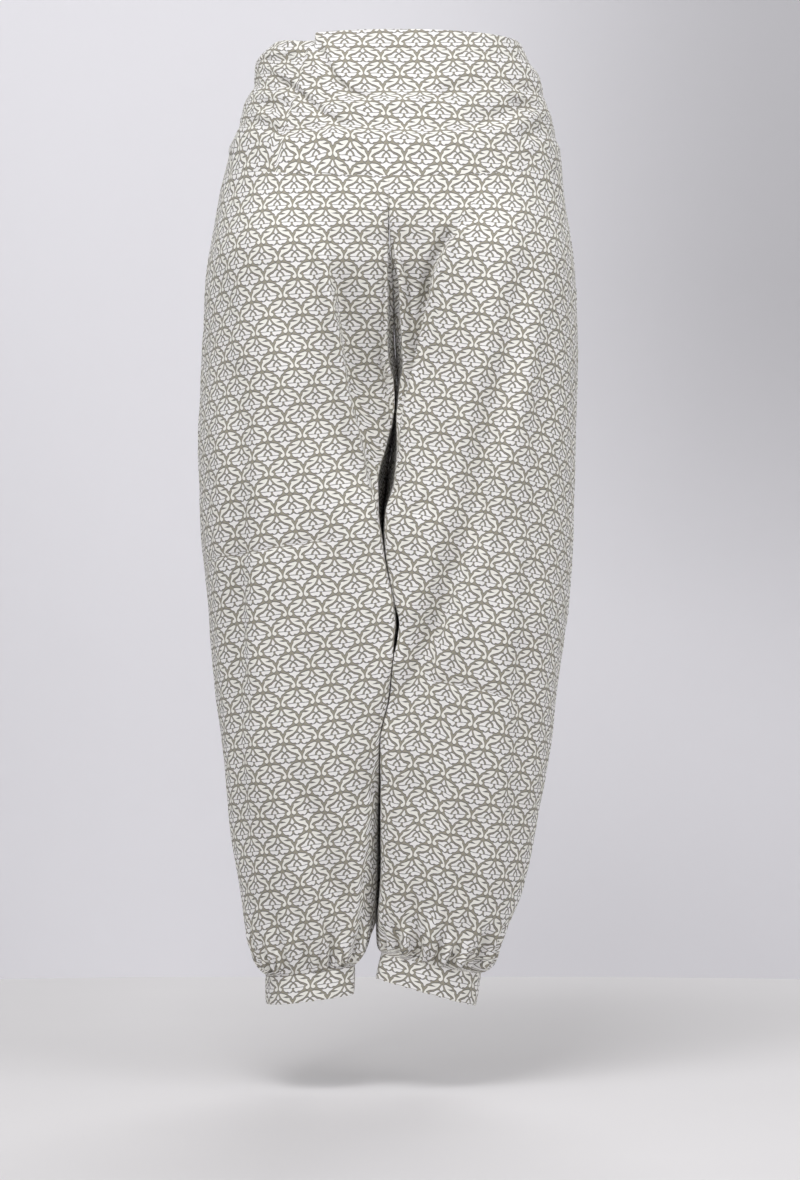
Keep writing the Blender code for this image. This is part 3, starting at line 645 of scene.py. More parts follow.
def leg_line(side, face, z):
    """Half of a leg's own section, from inner seam to side seam, and which point is its crest."""
    inner_x, outer_x, crest_level = inner(side, z), outline(side, z), crest_y(face, z)
    square = inner(side + "_square", z) if face < 0 else FULLNESS
    seam = (inner_seam_x(side, z), centre_seam_y(face, z))
    depth = abs(seam[1] - crest_level)
    rounding = min(max(LEAST_ROUNDING, inner("rounding", z) * depth), FULLNESS * depth)
    mouth = (inner_x, crest_level - face * rounding)
    crest = (inner_x + (outer_x - inner_x) * CREST_SHARE, crest_level)
    drop = SEAM_HANDLE * (mouth[1] - seam[1])
    wall = arc(seam, (seam[0], seam[1] + drop), (mouth[0], mouth[1] - drop), mouth)
    corner_low = (inner_x, mouth[1] + square * (crest_level - mouth[1]))
    corner_high = (crest[0] + square * (inner_x - crest[0]), crest_level)
    corner = arc(mouth, corner_low, corner_high, crest)
    line = np.concatenate([wall, corner[1:], quarter(crest, (outer_x, 0.0))[1:]])
    near_inner = np.clip((outer_x - line[:, 0]) / (outer_x - inner_x), 0.0, 1.0) ** 2
    line[:, 0] += inner("slant", z) * (line[:, 1] - crest_y(-1, z)) / 100.0 * near_inner
    return line, len(wall) + len(corner) - 2


def leg_half(side, face, z):
    """Half of a leg's section, eased into the yoke's at its top, and the length at its crest."""
    line, crest = leg_line(side, face, z)
    crest_length = lengths_along(line)[crest]
    weight = float(smoothstep(0.0, TOP_BLEND, YOKE_SEAM_Z - z))
    if weight < 1.0:
        shares = np.linspace(0.0, 1.0, len(line))
        waist = waist_half(side, face, z)
        waist = at_lengths(waist, shares * lengths_along(waist)[-1])
        line = at_lengths(line, shares * lengths_along(line)[-1])
        line = waist + weight * (line - waist)
    return line, crest_length


def yoke_seam_z(share):
    """The yoke's lower edge: lowest at the centre seam (0) and highest at the side seam (1)."""
    dip = YOKE_SEAM_CENTRE_Z - YOKE_SEAM_SIDE_Z
    return YOKE_SEAM_SIDE_Z + dip * np.cos(np.pi / 2 * np.clip(share, 0.0, 1.0))


def cuff_seam_offset(side, x, y, z):
    """How far a leg's level is tilted and lifted towards its cuff's seam."""
    cuff = named(CUFF_COLUMNS, CUFFS[side])
    middle = (outline(side, z) + inner(side, z)) / 2
    near = float(smoothstep(CUFF_TILT_REACH, 0.0, z - CUFF_SEAM_Z))
    tilt = -SIDES[side] * cuff["seam_rise"] * (x - middle)
    return near * (cuff["lift"] + tilt - cuff["back_lift"] * y / CUFF_HALF_DEPTH)


def smooth_path(points):
    """A smooth line through a few points."""
    points = np.array(points, float)
    ends = [2 * points[0] - points[1]], [2 * points[-1] - points[-2]]
    padded = np.concatenate([ends[0], points, ends[1]])
    t = np.linspace(0.0, 1.0, PATH_STEPS, endpoint=False)[:, None]
    spans = []
    for a, b, c, d in zip(padded, padded[1:], padded[2:], padded[3:]):
        bend = (2 * a - 5 * b + 4 * c - d) * t**2 + (3 * b - a - 3 * c + d) * t**3
        spans.append(0.5 * (2 * b + (c - a) * t + bend))
    return np.concatenate(spans + [points[-1:]])


def beside(path, x, z):
    """How far points lie from a path, more than 0 to its right or above it, and how far along."""
    least = np.full(x.shape, np.inf)
    signed, along = np.zeros(x.shape), np.zeros(x.shape)
    lengths = lengths_along(path)
    for k in range(len(path) - 1):
        length = lengths[k + 1] - lengths[k]
        run_x, run_z = (path[k + 1] - path[k]) / length
        from_x, from_z = x - path[k, 0], z - path[k, 1]
        there = np.clip(from_x * run_x + from_z * run_z, 0.0, length)
        off_x, off_z = from_x - there * run_x, from_z - there * run_z
        distance = np.hypot(off_x, off_z)
        nearer = distance < least
        least = np.where(nearer, distance, least)
        side = np.where(off_z * run_x - off_x * run_z < 0, -1.0, 1.0)
        signed = np.where(nearer, side * distance, signed)
        along = np.where(nearer, (lengths[k] + there) / lengths[-1], along)
    return signed, along


def fold_offset(folds, face, x, z, facing):
    """How far the folds of one face move points at x, z that face outwards by this much."""
    offset = np.zeros_like(x)
    seen = smoothstep(FACING_LOW, FACING_HIGH, facing)
    for row in folds:
        fold = named(FOLD_COLUMNS, row)
        if fold["face"] != face:
            continue
        path = smooth_path(fold["path"])
        reach = FOLD_REACH * max(fold["left"], fold["right"])
        low, high = path.min(axis=0) - reach, path.max(axis=0) + reach
        near = (x > low[0]) & (x < high[0]) & (z > low[1]) & (z < high[1])
        distance, along = beside(path, x[near], z[near])
        distance = np.abs(distance / np.where(distance < 0, fold["left"], fold["right"]))
        rim = RIM_SHARE * np.exp(-RIM_SHARPNESS * (distance - RIM_PLACE) ** 2)
        trough = np.exp(-(distance**2)) - rim
        fade = np.sin(np.pi * np.clip(along, RUN_OUT, 1.0 - RUN_OUT)) ** RUN_OUT_POWER
        waver = np.sin(2 * np.pi * UNEVEN_TURNS * along + fold["path"][0][0])
        offset[near] -= fold["depth"] * fade * (1.0 + UNEVEN_DEPTH * waver) * trough
    return offset * seen


def tuck_offset(tucks, face, x, z, facing):
    """How far the creases nip the cloth in, and how much further its print has run below them."""
    offset, hidden = np.zeros_like(x), np.zeros_like(x)
    seen = smoothstep(FACING_LOW, FACING_HIGH, facing)
    for row in tucks:
        tuck = named(TUCK_COLUMNS, row)
        if tuck["face"] != face:
            continue
        distance, along = beside(smooth_path(tuck["path"]), x, z)
        fade = smoothstep(1.0, TUCK_FADES_FROM, along) * smoothstep(0.0, TUCK_FULL_FROM, along)
        offset -= tuck["depth"] * fade * seen * np.exp(-((distance / TUCK_REACH) ** 2))
        near = smoothstep(TUCK_PRINT_FAR, TUCK_PRINT_NEAR, np.abs(distance))
        past = smoothstep(-tuck["soft"], tuck["soft"], -distance) - 0.5
        hidden += tuck["hidden"] * fade * near * past
    return offset, hidden


def soft_noise(x, z, across, down, seed):
    """Smooth noise from -1 to 1 with lumps of these sizes."""
    cells = np.random.default_rng(seed).uniform(-1.0, 1.0, (NOISE_CELLS, NOISE_CELLS))
    at_x, at_z = x / across, z / down
    i, j = np.floor(at_x).astype(int), np.floor(at_z).astype(int)
    s, t = smoothstep(0.0, 1.0, at_x - i), smoothstep(0.0, 1.0, at_z - j)
    i0, i1 = i % NOISE_CELLS, (i + 1) % NOISE_CELLS
    j0, j1 = j % NOISE_CELLS, (j + 1) % NOISE_CELLS
    lower = cells[i0, j0] * (1 - s) + cells[i1, j0] * s
    upper = cells[i0, j1] * (1 - s) + cells[i1, j1] * s
    return lower * (1 - t) + upper * t


def crumple(around_x, z):
    """The small unevenness of soft cloth."""
    total = np.zeros_like(z)
    for across, down, height, seed in CRUMPLES:
        total += height * soft_noise(around_x, z, across, down, seed)
    return total


def gather_offset(side, place, height):
    """The puckers above a cuff. place is 0 to 1 round the leg, height is above the cuff's seam."""
    turn = 2 * np.pi * place
    drawn = np.full_like(place, LEAST_DRAWN)
    for row in PINCHES[side]:
        pinch = named(PINCH_COLUMNS, row)
        away = (place - pinch["place"] + 0.5) % 1.0 - 0.5
        drawn += pinch["extra"] * np.exp(-((away / pinch["width"]) ** 2))
    total = np.zeros_like(place)
    for row in GATHERS:
        gather = named(GATHER_COLUMNS, row)
        phase = gather["phase"]
        wander = np.sin(WANDER_TURNS * turn + SIDES[side] + phase)
        wander += 0.5 * np.sin(FINE_WANDER_TURNS * turn + 2 * phase)
        uneven = np.sin(UNEVEN_GATHER_TURNS * turn + 1.7 * phase + SIDES[side])
        uneven = 1.0 + UNEVEN_GATHERS * (uneven - 1.0)
        rise = np.maximum(height / gather["peak"], 0.0)
        swell = rise * np.exp(1.0 - rise)
        swell *= 1.0 - smoothstep(0.5 * gather["reach"], gather["reach"], height)
        lean = GATHER_LEAN * height * np.sin(2 * turn + phase)
        wave = (gather["count"] * turn + gather["wander"] * wander + lean) / 2
        wave = np.abs(np.cos(wave)) - WAVE_MIDDLE
        total += 2.0 * gather["depth"] * swell * uneven * drawn * wave
    return total


def seam_offset(distances, along):
    """The dip at the seams at these distances, and the puckers beside them."""
    offset = np.zeros_like(along)
    for distance in distances:
        dip = np.clip(1.0 - distance / SEAM_REACH, 0.0, 1.0) ** 2
        pucker = np.clip(1.0 - distance / PUCKER_REACH, 0.0, 1.0) ** 2
        drift = PUCKER_DRIFT * np.sin(along / PUCKER_DRIFT_LENGTH)
        waver = np.sin(2 * np.pi * along / PUCKER_PITCH + drift)
        offset -= SEAM_DIP * dip + PUCKER_DEPTH * pucker * waver * (1.0 - dip)
    return offset


def moved_out(base, normals, moved):
    """Points moved along their level normals."""
    points = base.copy()
    points[:, :, :2] += normals * moved[:, :, None]
    return points


def running_length(points, axis):
    """The length of cloth from a grid's first row or column to each of its points."""
    steps = np.linalg.norm(np.diff(points, axis=axis), axis=2)
    first = [(0, 0), (0, 0)]
    first[axis] = (1, 0)
    return np.pad(np.cumsum(steps, axis=axis), first)


def grain(table, across, z):
    """Where the print's grid falls: across and down, from lengths towards +X and levels."""
    levels = np.array([row[0] for row in table], float)
    above = np.clip(np.searchsorted(-levels, -z) - 1, 0, len(levels) - 2)
    share = (levels[above] - z) / (levels[above] - levels[above + 1])
    value = {}
    for k, name in enumerate(GRAIN_COLUMNS[1:], 1):
        values = np.array([row[k] for row in table], float)
        value[name] = values[above] + share * (values[above + 1] - values[above])
    hundreds = across / 100.0
    u = value["u"] + value["spread"] * hundreds
    v = value["v"] + value["fall"] * hundreds + value["curve"] * hundreds**2
    return u, v


def at_zero(values, across):
    """Each row's value where across passes 0."""
    found = []
    for row, place in zip(values, across):
        order = np.argsort(place)
        found.append(np.interp(0.0, place[order], row[order]))
    return np.array(found)[:, None]


def print_places(table, points, base, across, level, hidden, sense):
    """Where the print's grid falls on cloth that its folds make longer than its smooth base."""
    u, v = grain(table, across, level)
    wider = sense * (running_length(points, 1) - running_length(base, 1))
    longer = running_length(points, 0) - running_length(base, 0)
    return np.stack([u + wider - at_zero(wider, across), v + longer + hidden], axis=2)


def leg_base(side, face, around, z):
    """A row of a leg's smooth form: x, y, height, the normal's x and y, and how far it lies from
    the inner seam, from the side seam and past the crest."""
    line, crest_length = leg_half(side, face, z)
    total = lengths_along(line)[-1]
    wanted = SEAM_GAP / 2 + around * (total - SEAM_GAP)
    share = np.clip(wanted / total, 0.0, 1.0)
    x, y = at_lengths(line, wanted).T
    normal = level_normals(line, wanted, SIDES[side] * -face)
    top = (1.0 - min(max((YOKE_SEAM_Z - z) / TOP_LEVEL_REACH, 0.0), 1.0)) ** 2
    height = z + (yoke_seam_z(share) - YOKE_SEAM_Z) * top + cuff_seam_offset(side, x, y, z)
    height += SEAM_GAP / 2 * (1.0 - 2.0 * float(smoothstep(CUFF_SEAM_Z, YOKE_SEAM_Z, z)))
    return x, y, height, normal[:, 0], normal[:, 1], wanted, total - wanted, wanted - crest_length


def leg_folds(side, face, base, normals, across):
    """How far a leg's folds and creases move its cloth, and how much print the creases hide."""
    x, y, z = base.transpose(2, 0, 1)
    facing = normals[:, :, 1] * face
    moved = fold_offset(LEG_FOLDS, face, x, z, facing)
    moved += fold_offset(SIDE_FOLDS[side], 1, y, z, normals[:, :, 0] * SIDES[side])
    nipped, hidden = tuck_offset(LEG_TUCKS, face, x, z, facing)
    shift = CRUMPLE_FACE_SHIFT * face + CRUMPLE_SIDE_SHIFT * SIDES[side]
    return moved + nipped + crumple(across + shift, z), hidden


def leg_surface(side, face, levels, around):
    """A leg panel's cloth: its points, and where the print's grid falls on each of them."""
    form = np.array([leg_base(side, face, around, z) for z in levels]).transpose(0, 2, 1)
    base, normals = form[:, :, :3], form[:, :, 3:5]
    from_inner, from_side, from_crest = form[:, :, 5:].transpose(2, 0, 1)
    level = np.broadcast_to(np.array(levels)[:, None], from_crest.shape)
    across = from_crest * SIDES[side]
    moved, hidden = leg_folds(side, face, base, normals, across)
    moved *= smoothstep(0.0, FOLDS_BELOW_YOKE, YOKE_SEAM_Z - level)
    moved *= smoothstep(0.0, FOLDS_ABOVE_CUFF, level - CUFF_SEAM_Z)
    moved *= smoothstep(0.0, FOLDS_BESIDE_SEAM, from_inner)
    share = from_inner / (from_inner + from_side)
    place = 0.5 * share if face < 0 else 1.0 - 0.5 * share
    moved += gather_offset(side, place, level - CUFF_SEAM_Z)
    moved += seam_offset((from_side, from_inner), base[:, :, 2])
    moved += YOKE_SEAM_DIP * seam_offset((YOKE_SEAM_Z - level,), across)
    points = moved_out(base, normals, moved)
    return points, print_places(GRAIN[side], points, base, across, level, hidden, SIDES[side])


def yoke_ring(face, level, around):
    """A row of the yoke's smooth form and its normals, at a level that yoke_surface explains."""
    casing, below = min(level, 1.0), max(level - 1.0, 0.0)
    nominal = (YOKE_SEAM_Z + CASING_HEIGHT) * below - CASING_HEIGHT * casing
    row, normals = np.zeros((len(around), 3)), np.zeros((len(around), 2))
    for side, sign in SIDES.items():
        own = around > 0 if sign > 0 else around <= 0
        share = np.abs(around[own])
        line = waist_half(side, face, nominal)
        wanted = share * (lengths_along(line)[-1] - SEAM_GAP / 2)
        low = yoke_seam_z(share) + SEAM_GAP / 2
        z = (low + CASING_HEIGHT) * below - CASING_HEIGHT * casing
        row[own] = np.column_stack([at_lengths(line, wanted), z])
        normals[own] = level_normals(line, wanted, sign * -face)
    return row, normals


def waist_notch(x, z, level):
    """How far the back's top edge dips beside its tuck, and how far the cloth steps in there."""
    past = (NOTCH_X - x) / NOTCH_WIDTH
    dip = smoothstep(*DIP_STARTS, past) * smoothstep(*DIP_ENDS, past)
    dip *= NOTCH_DIP * (1.0 - np.clip(level, 0.0, 1.0))
    step = smoothstep(*STEP_STARTS, past) * smoothstep(*STEP_ENDS, past)
    return dip, -NOTCH_STEP * step * smoothstep(NOTCH_FOOT_Z, NOTCH_FULL_Z, z - dip)


def yoke_folds(face, x, y, z, normals, across):
    """How far the yoke's folds move its cloth, and how much print its slumps hide."""
    facing = normals[:, :, 1] * face
    moved = fold_offset(YOKE_FOLDS, face, x, z, facing)
    for side, sign in SIDES.items():
        moved += fold_offset(WAIST_FOLDS[side], 1, y, z, normals[:, :, 0] * sign)
    nipped, hidden = tuck_offset(YOKE_TUCKS, face, x, z, facing)
    return moved + nipped + crumple(across + CRUMPLE_YOKE_SHIFT * face, z), hidden


def yoke_surface(face, levels, around):
    """The yoke's cloth: its points, and where the print's grid falls on each of them.

    levels run from 0 at the top edge to 1 at the casing's stitch line and 2 at the lower seam.
    """
    base, normals = map(np.array, zip(*(yoke_ring(face, level, around) for level in levels)))
    x, y, z = base.transpose(2, 0, 1)
    level = np.broadcast_to(np.array(levels)[:, None], x.shape)
    dip, step = waist_notch(x, z, level) if face < 0 else (0.0, 0.0)
    z = z - dip
    lengths = running_length(base, 1)
    across = lengths - at_zero(lengths, x)
    moved, hidden = yoke_folds(face, x, y, z, normals, across)
    above_seam = z - yoke_seam_z(np.abs(around))
    moved *= smoothstep(0.0, FOLDS_ABOVE_YOKE_SEAM, above_seam)
    moved *= TOP_FOLDS + (1.0 - TOP_FOLDS) * smoothstep(0.0, FOLDS_BELOW_TOP, -z)
    moved += step
    moved += seam_offset(((1.0 - np.abs(around)) * lengths[:, -1:] / 2,), z)
    moved += YOKE_SEAM_DIP * seam_offset((above_seam,), across)
    from_stitches = np.abs(z + CASING_HEIGHT)
    moved += CASING_DIP * seam_offset((CASING_NARROWNESS * from_stitches,), across)
    points = moved_out(base, normals, moved)
    points[:, :, 2] = z
    return points, print_places(GRAIN["yoke"], points, base, across, z, hidden, 1)


def cuff_ring(side, around, share):
    """A ring of points on a cuff, around from 0 to 2, share from 0 at its seam to 1 at its hem."""
    cuff = named(CUFF_COLUMNS, CUFFS[side])
    halves = []
    for face in (-1, 1):
        own = around[around < 1.0] if face < 0 else 2.0 - around[around >= 1.0]
        line, _ = leg_half(side, face, CUFF_SEAM_Z)
        halves.append(at_lengths(line, own * lengths_along(line)[-1]))
    x, y = np.concatenate(halves).T
    limits = outline(side, CUFF_SEAM_Z), inner(side, CUFF_SEAM_Z)
    hem_across = (x - sum(limits) / 2) * cuff["hem_half_width"] * 2 / abs(limits[0] - limits[1])
    seam_z = CUFF_SEAM_Z - SEAM_GAP / 2 + cuff_seam_offset(side, x, y, CUFF_SEAM_Z)
    hem_z = CUFF_SEAM_Z + cuff["lift"] - CUFF_HEIGHT
    hem_z = hem_z - cuff["back_lift"] * y / CUFF_HALF_DEPTH
    hem_z -= SIDES[side] * cuff["hem_rise"] * hem_across
    seam = np.column_stack([x, y, seam_z])
    hem = np.column_stack([cuff["hem_x"] + hem_across, y * HEM_DEPTH_SHARE, hem_z])
    return seam + share * (hem - seam)


def unit(vectors):
    return vectors / np.maximum(np.linalg.norm(vectors, axis=-1, keepdims=True), 1e-9)


def grid_normals(points, ring, away_from):
    """Unit normals of a grid of points, facing away from an upright axis."""
    if ring:
        padded = np.concatenate([points[:, -2:-1], points, points[:, 1:2]], axis=1)
        along = np.gradient(padded, axis=1)[:, 1:-1]
    else:
        along = np.gradient(points, axis=1)
    normals = unit(np.cross(along, np.gradient(points, axis=0)))
    facing = (normals[:, :, :2] * (points[:, :, :2] - np.array(away_from))).sum()
    return normals if facing > 0 else -normals


def with_lips(points, print_at, normals, top):
    """The grid with its sides and its bottom turned inwards, as at a seam, and its top if asked."""
    level = normals * (1.0, 1.0, 0.0)
    count = len(LIP_STEPS)
    for axis, before in ((1, count), (0, count if top else 0)):
        pads = [(0, 0)] * 3
        pads[axis] = (before, count)
        points, print_at, level = (np.pad(grid, pads, "edge") for grid in (points, print_at, level))
        depth = np.zeros(points.shape[axis])
        depth[:before] = LIP_STEPS[::-1][:before]
        depth[-count:] = LIP_STEPS
        points = points - level * np.expand_dims(depth, (1 - axis, 2))
    return points, print_at


def turned_edge(row, print_row, level, sense):
    """Rows round a folded edge, from its outside in. sense is 1 for an upper edge, -1 for a lower."""
    rows, prints = [], []
    for turn in np.linspace(0.0, math.pi, EDGE_ROWS + 2)[1:-1]:
        turned = row - level * EDGE_RADIUS * (1.0 - math.cos(turn))
        turned[:, 2] += sense * EDGE_RADIUS * (math.sin(turn) - 1.0)
        rows.append(turned)
        prints.append(print_row - (0.0, sense * EDGE_RADIUS * turn))
    return np.array(rows), np.array(prints)


def shell_faces(rows, columns, ring):
    """A shell's quads: its outside, its inside and its rims. Its outer points come first."""
    count = rows * columns
    index = np.arange(count).reshape(rows, columns)
    quads = np.stack([index[:-1, :-1], index[1:, :-1], index[1:, 1:], index[:-1, 1:]], axis=2)
    quads = quads.reshape(-1, 4)
    rims = [index[0], index[-1][::-1]]
    if not ring:
        rims += [index[::-1, 0], index[:, -1]]
    groups = [quads, quads[:, ::-1] + count]
    for edge in rims:
        groups.append(np.stack([edge[:-1], edge[1:], edge[1:] + count, edge[:-1] + count], axis=1))
    return np.concatenate(groups), len(quads)


def bake_places(points, faces, outside):
    """Where each corner of each face lies on a square map: the outside, the inside and the rims."""
    down, across = (running_length(points, axis).mean(axis=1 - axis) for axis in (0, 1))
    grid = np.stack(np.meshgrid(across / across[-1], 1.0 - down / down[-1]), axis=2)
    outer = OUTSIDE_MAP_CORNER + grid * OUTSIDE_MAP_SIZE
    inner_places = INSIDE_MAP_CORNER + grid * INSIDE_MAP_SIZE
    at_edge = (grid < 1e-9) | (grid > 1.0 - 1e-9)
    rim = outer + RIM_MAP_WIDTH * np.sign(grid - 0.5) * at_edge
    places = np.concatenate([outer.reshape(-1, 2), inner_places.reshape(-1, 2)])[faces]
    rim_faces = faces[2 * outside:]
    count = points.shape[0] * points.shape[1]
    inner_corner = rim_faces >= count
    places[2 * outside:][inner_corner] = rim.reshape(-1, 2)[rim_faces[inner_corner] - count]
    return places


def add_map(mesh, name, places):
    made = mesh.uv_layers.new(name=name)
    made.uv.foreach_set("vector", places.astype(np.float32).ravel())


def change_mesh(mesh, operation, kind, **settings):
    """Applies one bmesh operation to all of a mesh's verts or faces."""
    edit = bmesh.new()
    edit.from_mesh(mesh)
    operation(edit, **{kind: getattr(edit, kind)}, **settings)
    edit.to_mesh(mesh)
    edit.free()


def linked(mesh):
    """A new object for this mesh, in the scene."""
    made = bpy.data.objects.new(mesh.name, mesh)
    bpy.context.scene.collection.objects.link(made)
    return made


def shell(name, points, print_at, away_from, ring=False):
    """A thin closed shell of cloth on a grid of points, with its print map and a map for baking."""
    normals = grid_normals(points, ring, away_from)
    vertices = np.concatenate([points, points - normals * CLOTH]).reshape(-1, 3)
    faces, outside = shell_faces(*points.shape[:2], ring)
    first, second, last = (vertices[faces[:outside, k]] for k in (0, 1, 3))
    facing = np.cross(second - first, last - first)
    if (facing * normals.reshape(-1, 3)[faces[:outside, 0]]).sum() < 0:
        faces = faces[:, ::-1]
    mesh = bpy.data.meshes.new(name)
    mesh.from_pydata((vertices * MM).tolist(), [], faces.tolist())
    slots = np.zeros(len(faces), np.int32)
    slots[outside:2 * outside] = 1
    mesh.polygons.foreach_set("material_index", slots)
    print_at = np.concatenate([print_at.reshape(-1, 2)] * 2) / (PRINT_WIDTH, PRINT_HEIGHT)
    add_map(mesh, "Print", print_at[faces])
    add_map(mesh, "OFBake", bake_places(points, faces, outside))
    mesh.uv_layers.active = mesh.uv_layers["OFBake"]
    mesh.uv_layers["OFBake"].active_render = True
    if ring:
        change_mesh(mesh, bmesh.ops.remove_doubles, "verts", dist=WELD_DISTANCE)
    mesh.shade_smooth()
    mesh.set_sharp_from_angle(angle=SHARP_ANGLE)
    return linked(mesh)


def linear(colour):
    """An sRGB colour out of 255 as Blender's linear colour."""
    values = [part / 255.0 for part in colour]
    values = [v / 12.92 if v <= 0.04045 else ((v + 0.055) / 1.055) ** 2.4 for v in values]
    return (*values, 1.0)


class Nodes:
    """Short calls for building a node tree."""

    def __init__(self, tree):
        self.tree = tree

    def add(self, kind, **settings):
        node = self.tree.nodes.new(kind)
        for name, value in settings.items():
            setattr(node, name, value)
        return node

    def feed(self, socket, value):
        if isinstance(value, bpy.types.NodeSocket):
            self.tree.links.new(value, socket)
        else:
            socket.default_value = value

    def set(self, node, **values):
        """Feeds a node's inputs, named as on the node with _ for each space."""
        for name, value in values.items():
            self.feed(node.inputs[name.replace("_", " ")], value)

    def math(self, operation, *values):
        node = self.add("ShaderNodeMath", operation=operation)
        for socket, value in zip(node.inputs, values):
            self.feed(socket, value)
        return node.outputs[0]

    def mix(self, share, first, second, blend="MIX"):
        node = self.add("ShaderNodeMix", data_type="RGBA", blend_type=blend)
        for name, value in (("Factor", share), ("A", first), ("B", second)):
            self.feed(next(s for s in node.inputs if s.name == name and s.enabled), value)
        return next(s for s in node.outputs if s.enabled)

    def shaded(self, colour, shade):
        """A colour times a shade."""
        return self.mix(1.0, colour, shade, blend="MULTIPLY")

    def ramp(self, value, low, high):
        node = self.add("ShaderNodeMapRange", interpolation_type="SMOOTHSTEP")
        self.set(node, Value=value, From_Min=low, From_Max=high)
        return node.outputs["Result"]

    def noise(self, vector, scale, detail=2.0):
        node = self.add("ShaderNodeTexNoise")
        self.set(node, Vector=vector, Scale=scale, Detail=detail)
        return node.outputs["Fac"]

    def between(self, value, low, high):
        """A value from 0 to 1, moved to lie between low and high."""
        return self.math("MULTIPLY_ADD", value, high - low, low)

    def apart(self, vector):
        """The parts of a vector."""
        node = self.add("ShaderNodeSeparateXYZ")
        self.feed(node.inputs[0], vector)
        return node.outputs

    def bump(self, height, strength, distance):
        node = self.add("ShaderNodeBump")
        self.set(node, Strength=strength, Distance=distance * MM, Height=height)
        return node.outputs["Normal"]


def new_material(name):
    """A material, the calls that build it, its shader and the place on the object."""
    material = bpy.data.materials.new(name)
    material.use_nodes = True
    nodes = Nodes(material.node_tree)
    shader = material.node_tree.nodes["Principled BSDF"]
    return material, nodes, shader, nodes.add("ShaderNodeTexCoord").outputs["Object"]


def chart_curve(nodes, points, x, opening):
    """The y of a charted edge at x. Beyond its ends the shape closes by moving this edge."""
    half = PRINT_WIDTH / 2
    span = CHART_HIGH - CHART_LOW
    node = nodes.add("ShaderNodeFloatCurve")
    curve = node.mapping.curves[0]
    wanted = [(at / half, (y - CHART_LOW) / span) for at, y in points]
    shut = opening * CLOSED_BY / span
    gap = CLOSED_WITHIN / half
    if points[0][0] > 0:
        at, y = wanted[0]
        wanted = [(0.0, y + shut), (at - gap, y + shut)] + wanted
    at, y = wanted[-1]
    wanted += [(at + gap, y + shut), (1.0, y + shut)]
    for _ in wanted[2:]:
        curve.points.new(0.5, 0.5)
    for point, place in zip(curve.points, wanted):
        point.location = place
        point.handle_type = "VECTOR"
    node.mapping.use_clip = False
    node.mapping.update()
    nodes.set(node, Value=nodes.math("DIVIDE", x, half))
    return nodes.between(node.outputs[0], CHART_LOW, CHART_HIGH)


def motif_group():
    """A node group: how deep a point of one motif lies in its white and its cream shapes, in mm."""
    group = bpy.data.node_groups.new("Ogee motif", "ShaderNodeTree")
    for way, names in (("INPUT", ("Across", "Down")), ("OUTPUT", ("White", "Cream"))):
        for name in names:
            group.interface.new_socket(name=name, in_out=way, socket_type="NodeSocketFloat")
    nodes = Nodes(group)
    source, target = nodes.add("NodeGroupInput"), nodes.add("NodeGroupOutput")
    x, y = source.outputs["Across"], source.outputs["Down"]
    for name, shapes in (("White", WHITE_SHAPES), ("Cream", CREAM_SHAPES)):
        deepest = None
        for upper, lower in shapes.values():
            below = nodes.math("SUBTRACT", y, chart_curve(nodes, upper, x, 1.0))
            above = nodes.math("SUBTRACT", chart_curve(nodes, lower, x, -1.0), y)
            depth = nodes.math("MINIMUM", below, above)
            deepest = depth if deepest is None else nodes.math("MAXIMUM", deepest, depth)
        nodes.feed(target.inputs[name], deepest)
    return group


def print_grid(nodes):
    """The place on the print's grid, across and down, in millimetres."""
    u, v, _ = nodes.apart(nodes.add("ShaderNodeUVMap", uv_map="Print").outputs["UV"])
    return nodes.math("MULTIPLY", u, PRINT_WIDTH), nodes.math("MULTIPLY", v, PRINT_HEIGHT)


def print_depths(nodes, motif):
    """The depth in white and in cream shapes of the whole staggered print."""
    u, v = print_grid(nodes)
    depths = {"White": [], "Cream": []}
    for half_steps in (0, 1):
        across = nodes.math("ADD", u, PRINT_WIDTH / 2 * (1 - half_steps))
        across = nodes.math("FLOORED_MODULO", across, PRINT_WIDTH)
        across = nodes.math("ABSOLUTE", nodes.math("SUBTRACT", across, PRINT_WIDTH / 2))
        down = nodes.math("ADD", v, CHART_LEAD - PRINT_HEIGHT / 2 * half_steps)
        down = nodes.math("SUBTRACT", nodes.math("FLOORED_MODULO", down, PRINT_HEIGHT), CHART_LEAD)
        one = nodes.add("ShaderNodeGroup", node_tree=motif)
        nodes.set(one, Across=across, Down=down)
        for name, found in depths.items():
            found.append(one.outputs[name])
    return [nodes.math("MAXIMUM", *found) for found in depths.values()]


def print_colour(nodes, motif, body):
    """The print's colours, with edges that blur a little into the cloth."""
    white, cream = print_depths(nodes, motif)
    white = nodes.math("ADD", white, WHITE_GROWTH)
    cream = nodes.math("ADD", cream, CREAM_GROWTH)
    blur = nodes.between(nodes.noise(body, scale=420.0), -PRINT_BLUR, PRINT_BLUR)
    either = nodes.math("ADD", nodes.math("MAXIMUM", white, cream), blur)
    in_white = nodes.ramp(either, -PRINT_SOFTNESS, PRINT_SOFTNESS)
    in_cream = nodes.ramp(nodes.math("SUBTRACT", cream, white), -CREAM_SOFTNESS, CREAM_SOFTNESS)
    off_line = nodes.ramp(either, -OUTLINE_DEPTH, -OUTLINE_DEPTH - OUTLINE_FADE)
    ground = nodes.mix(off_line, linear(LINE_GREY), linear(KHAKI))
    paper = nodes.mix(in_cream, linear(WHITE), linear(CREAM))
    return nodes.mix(in_white, ground, paper)


def weave_height(nodes):
    """The height of a plain weave."""
    turns = [nodes.math("MULTIPLY", place, 2 * math.pi / WEAVE_PITCH) for place in print_grid(nodes)]
    return nodes.math("MULTIPLY", *(nodes.math("SINE", turn) for turn in turns))


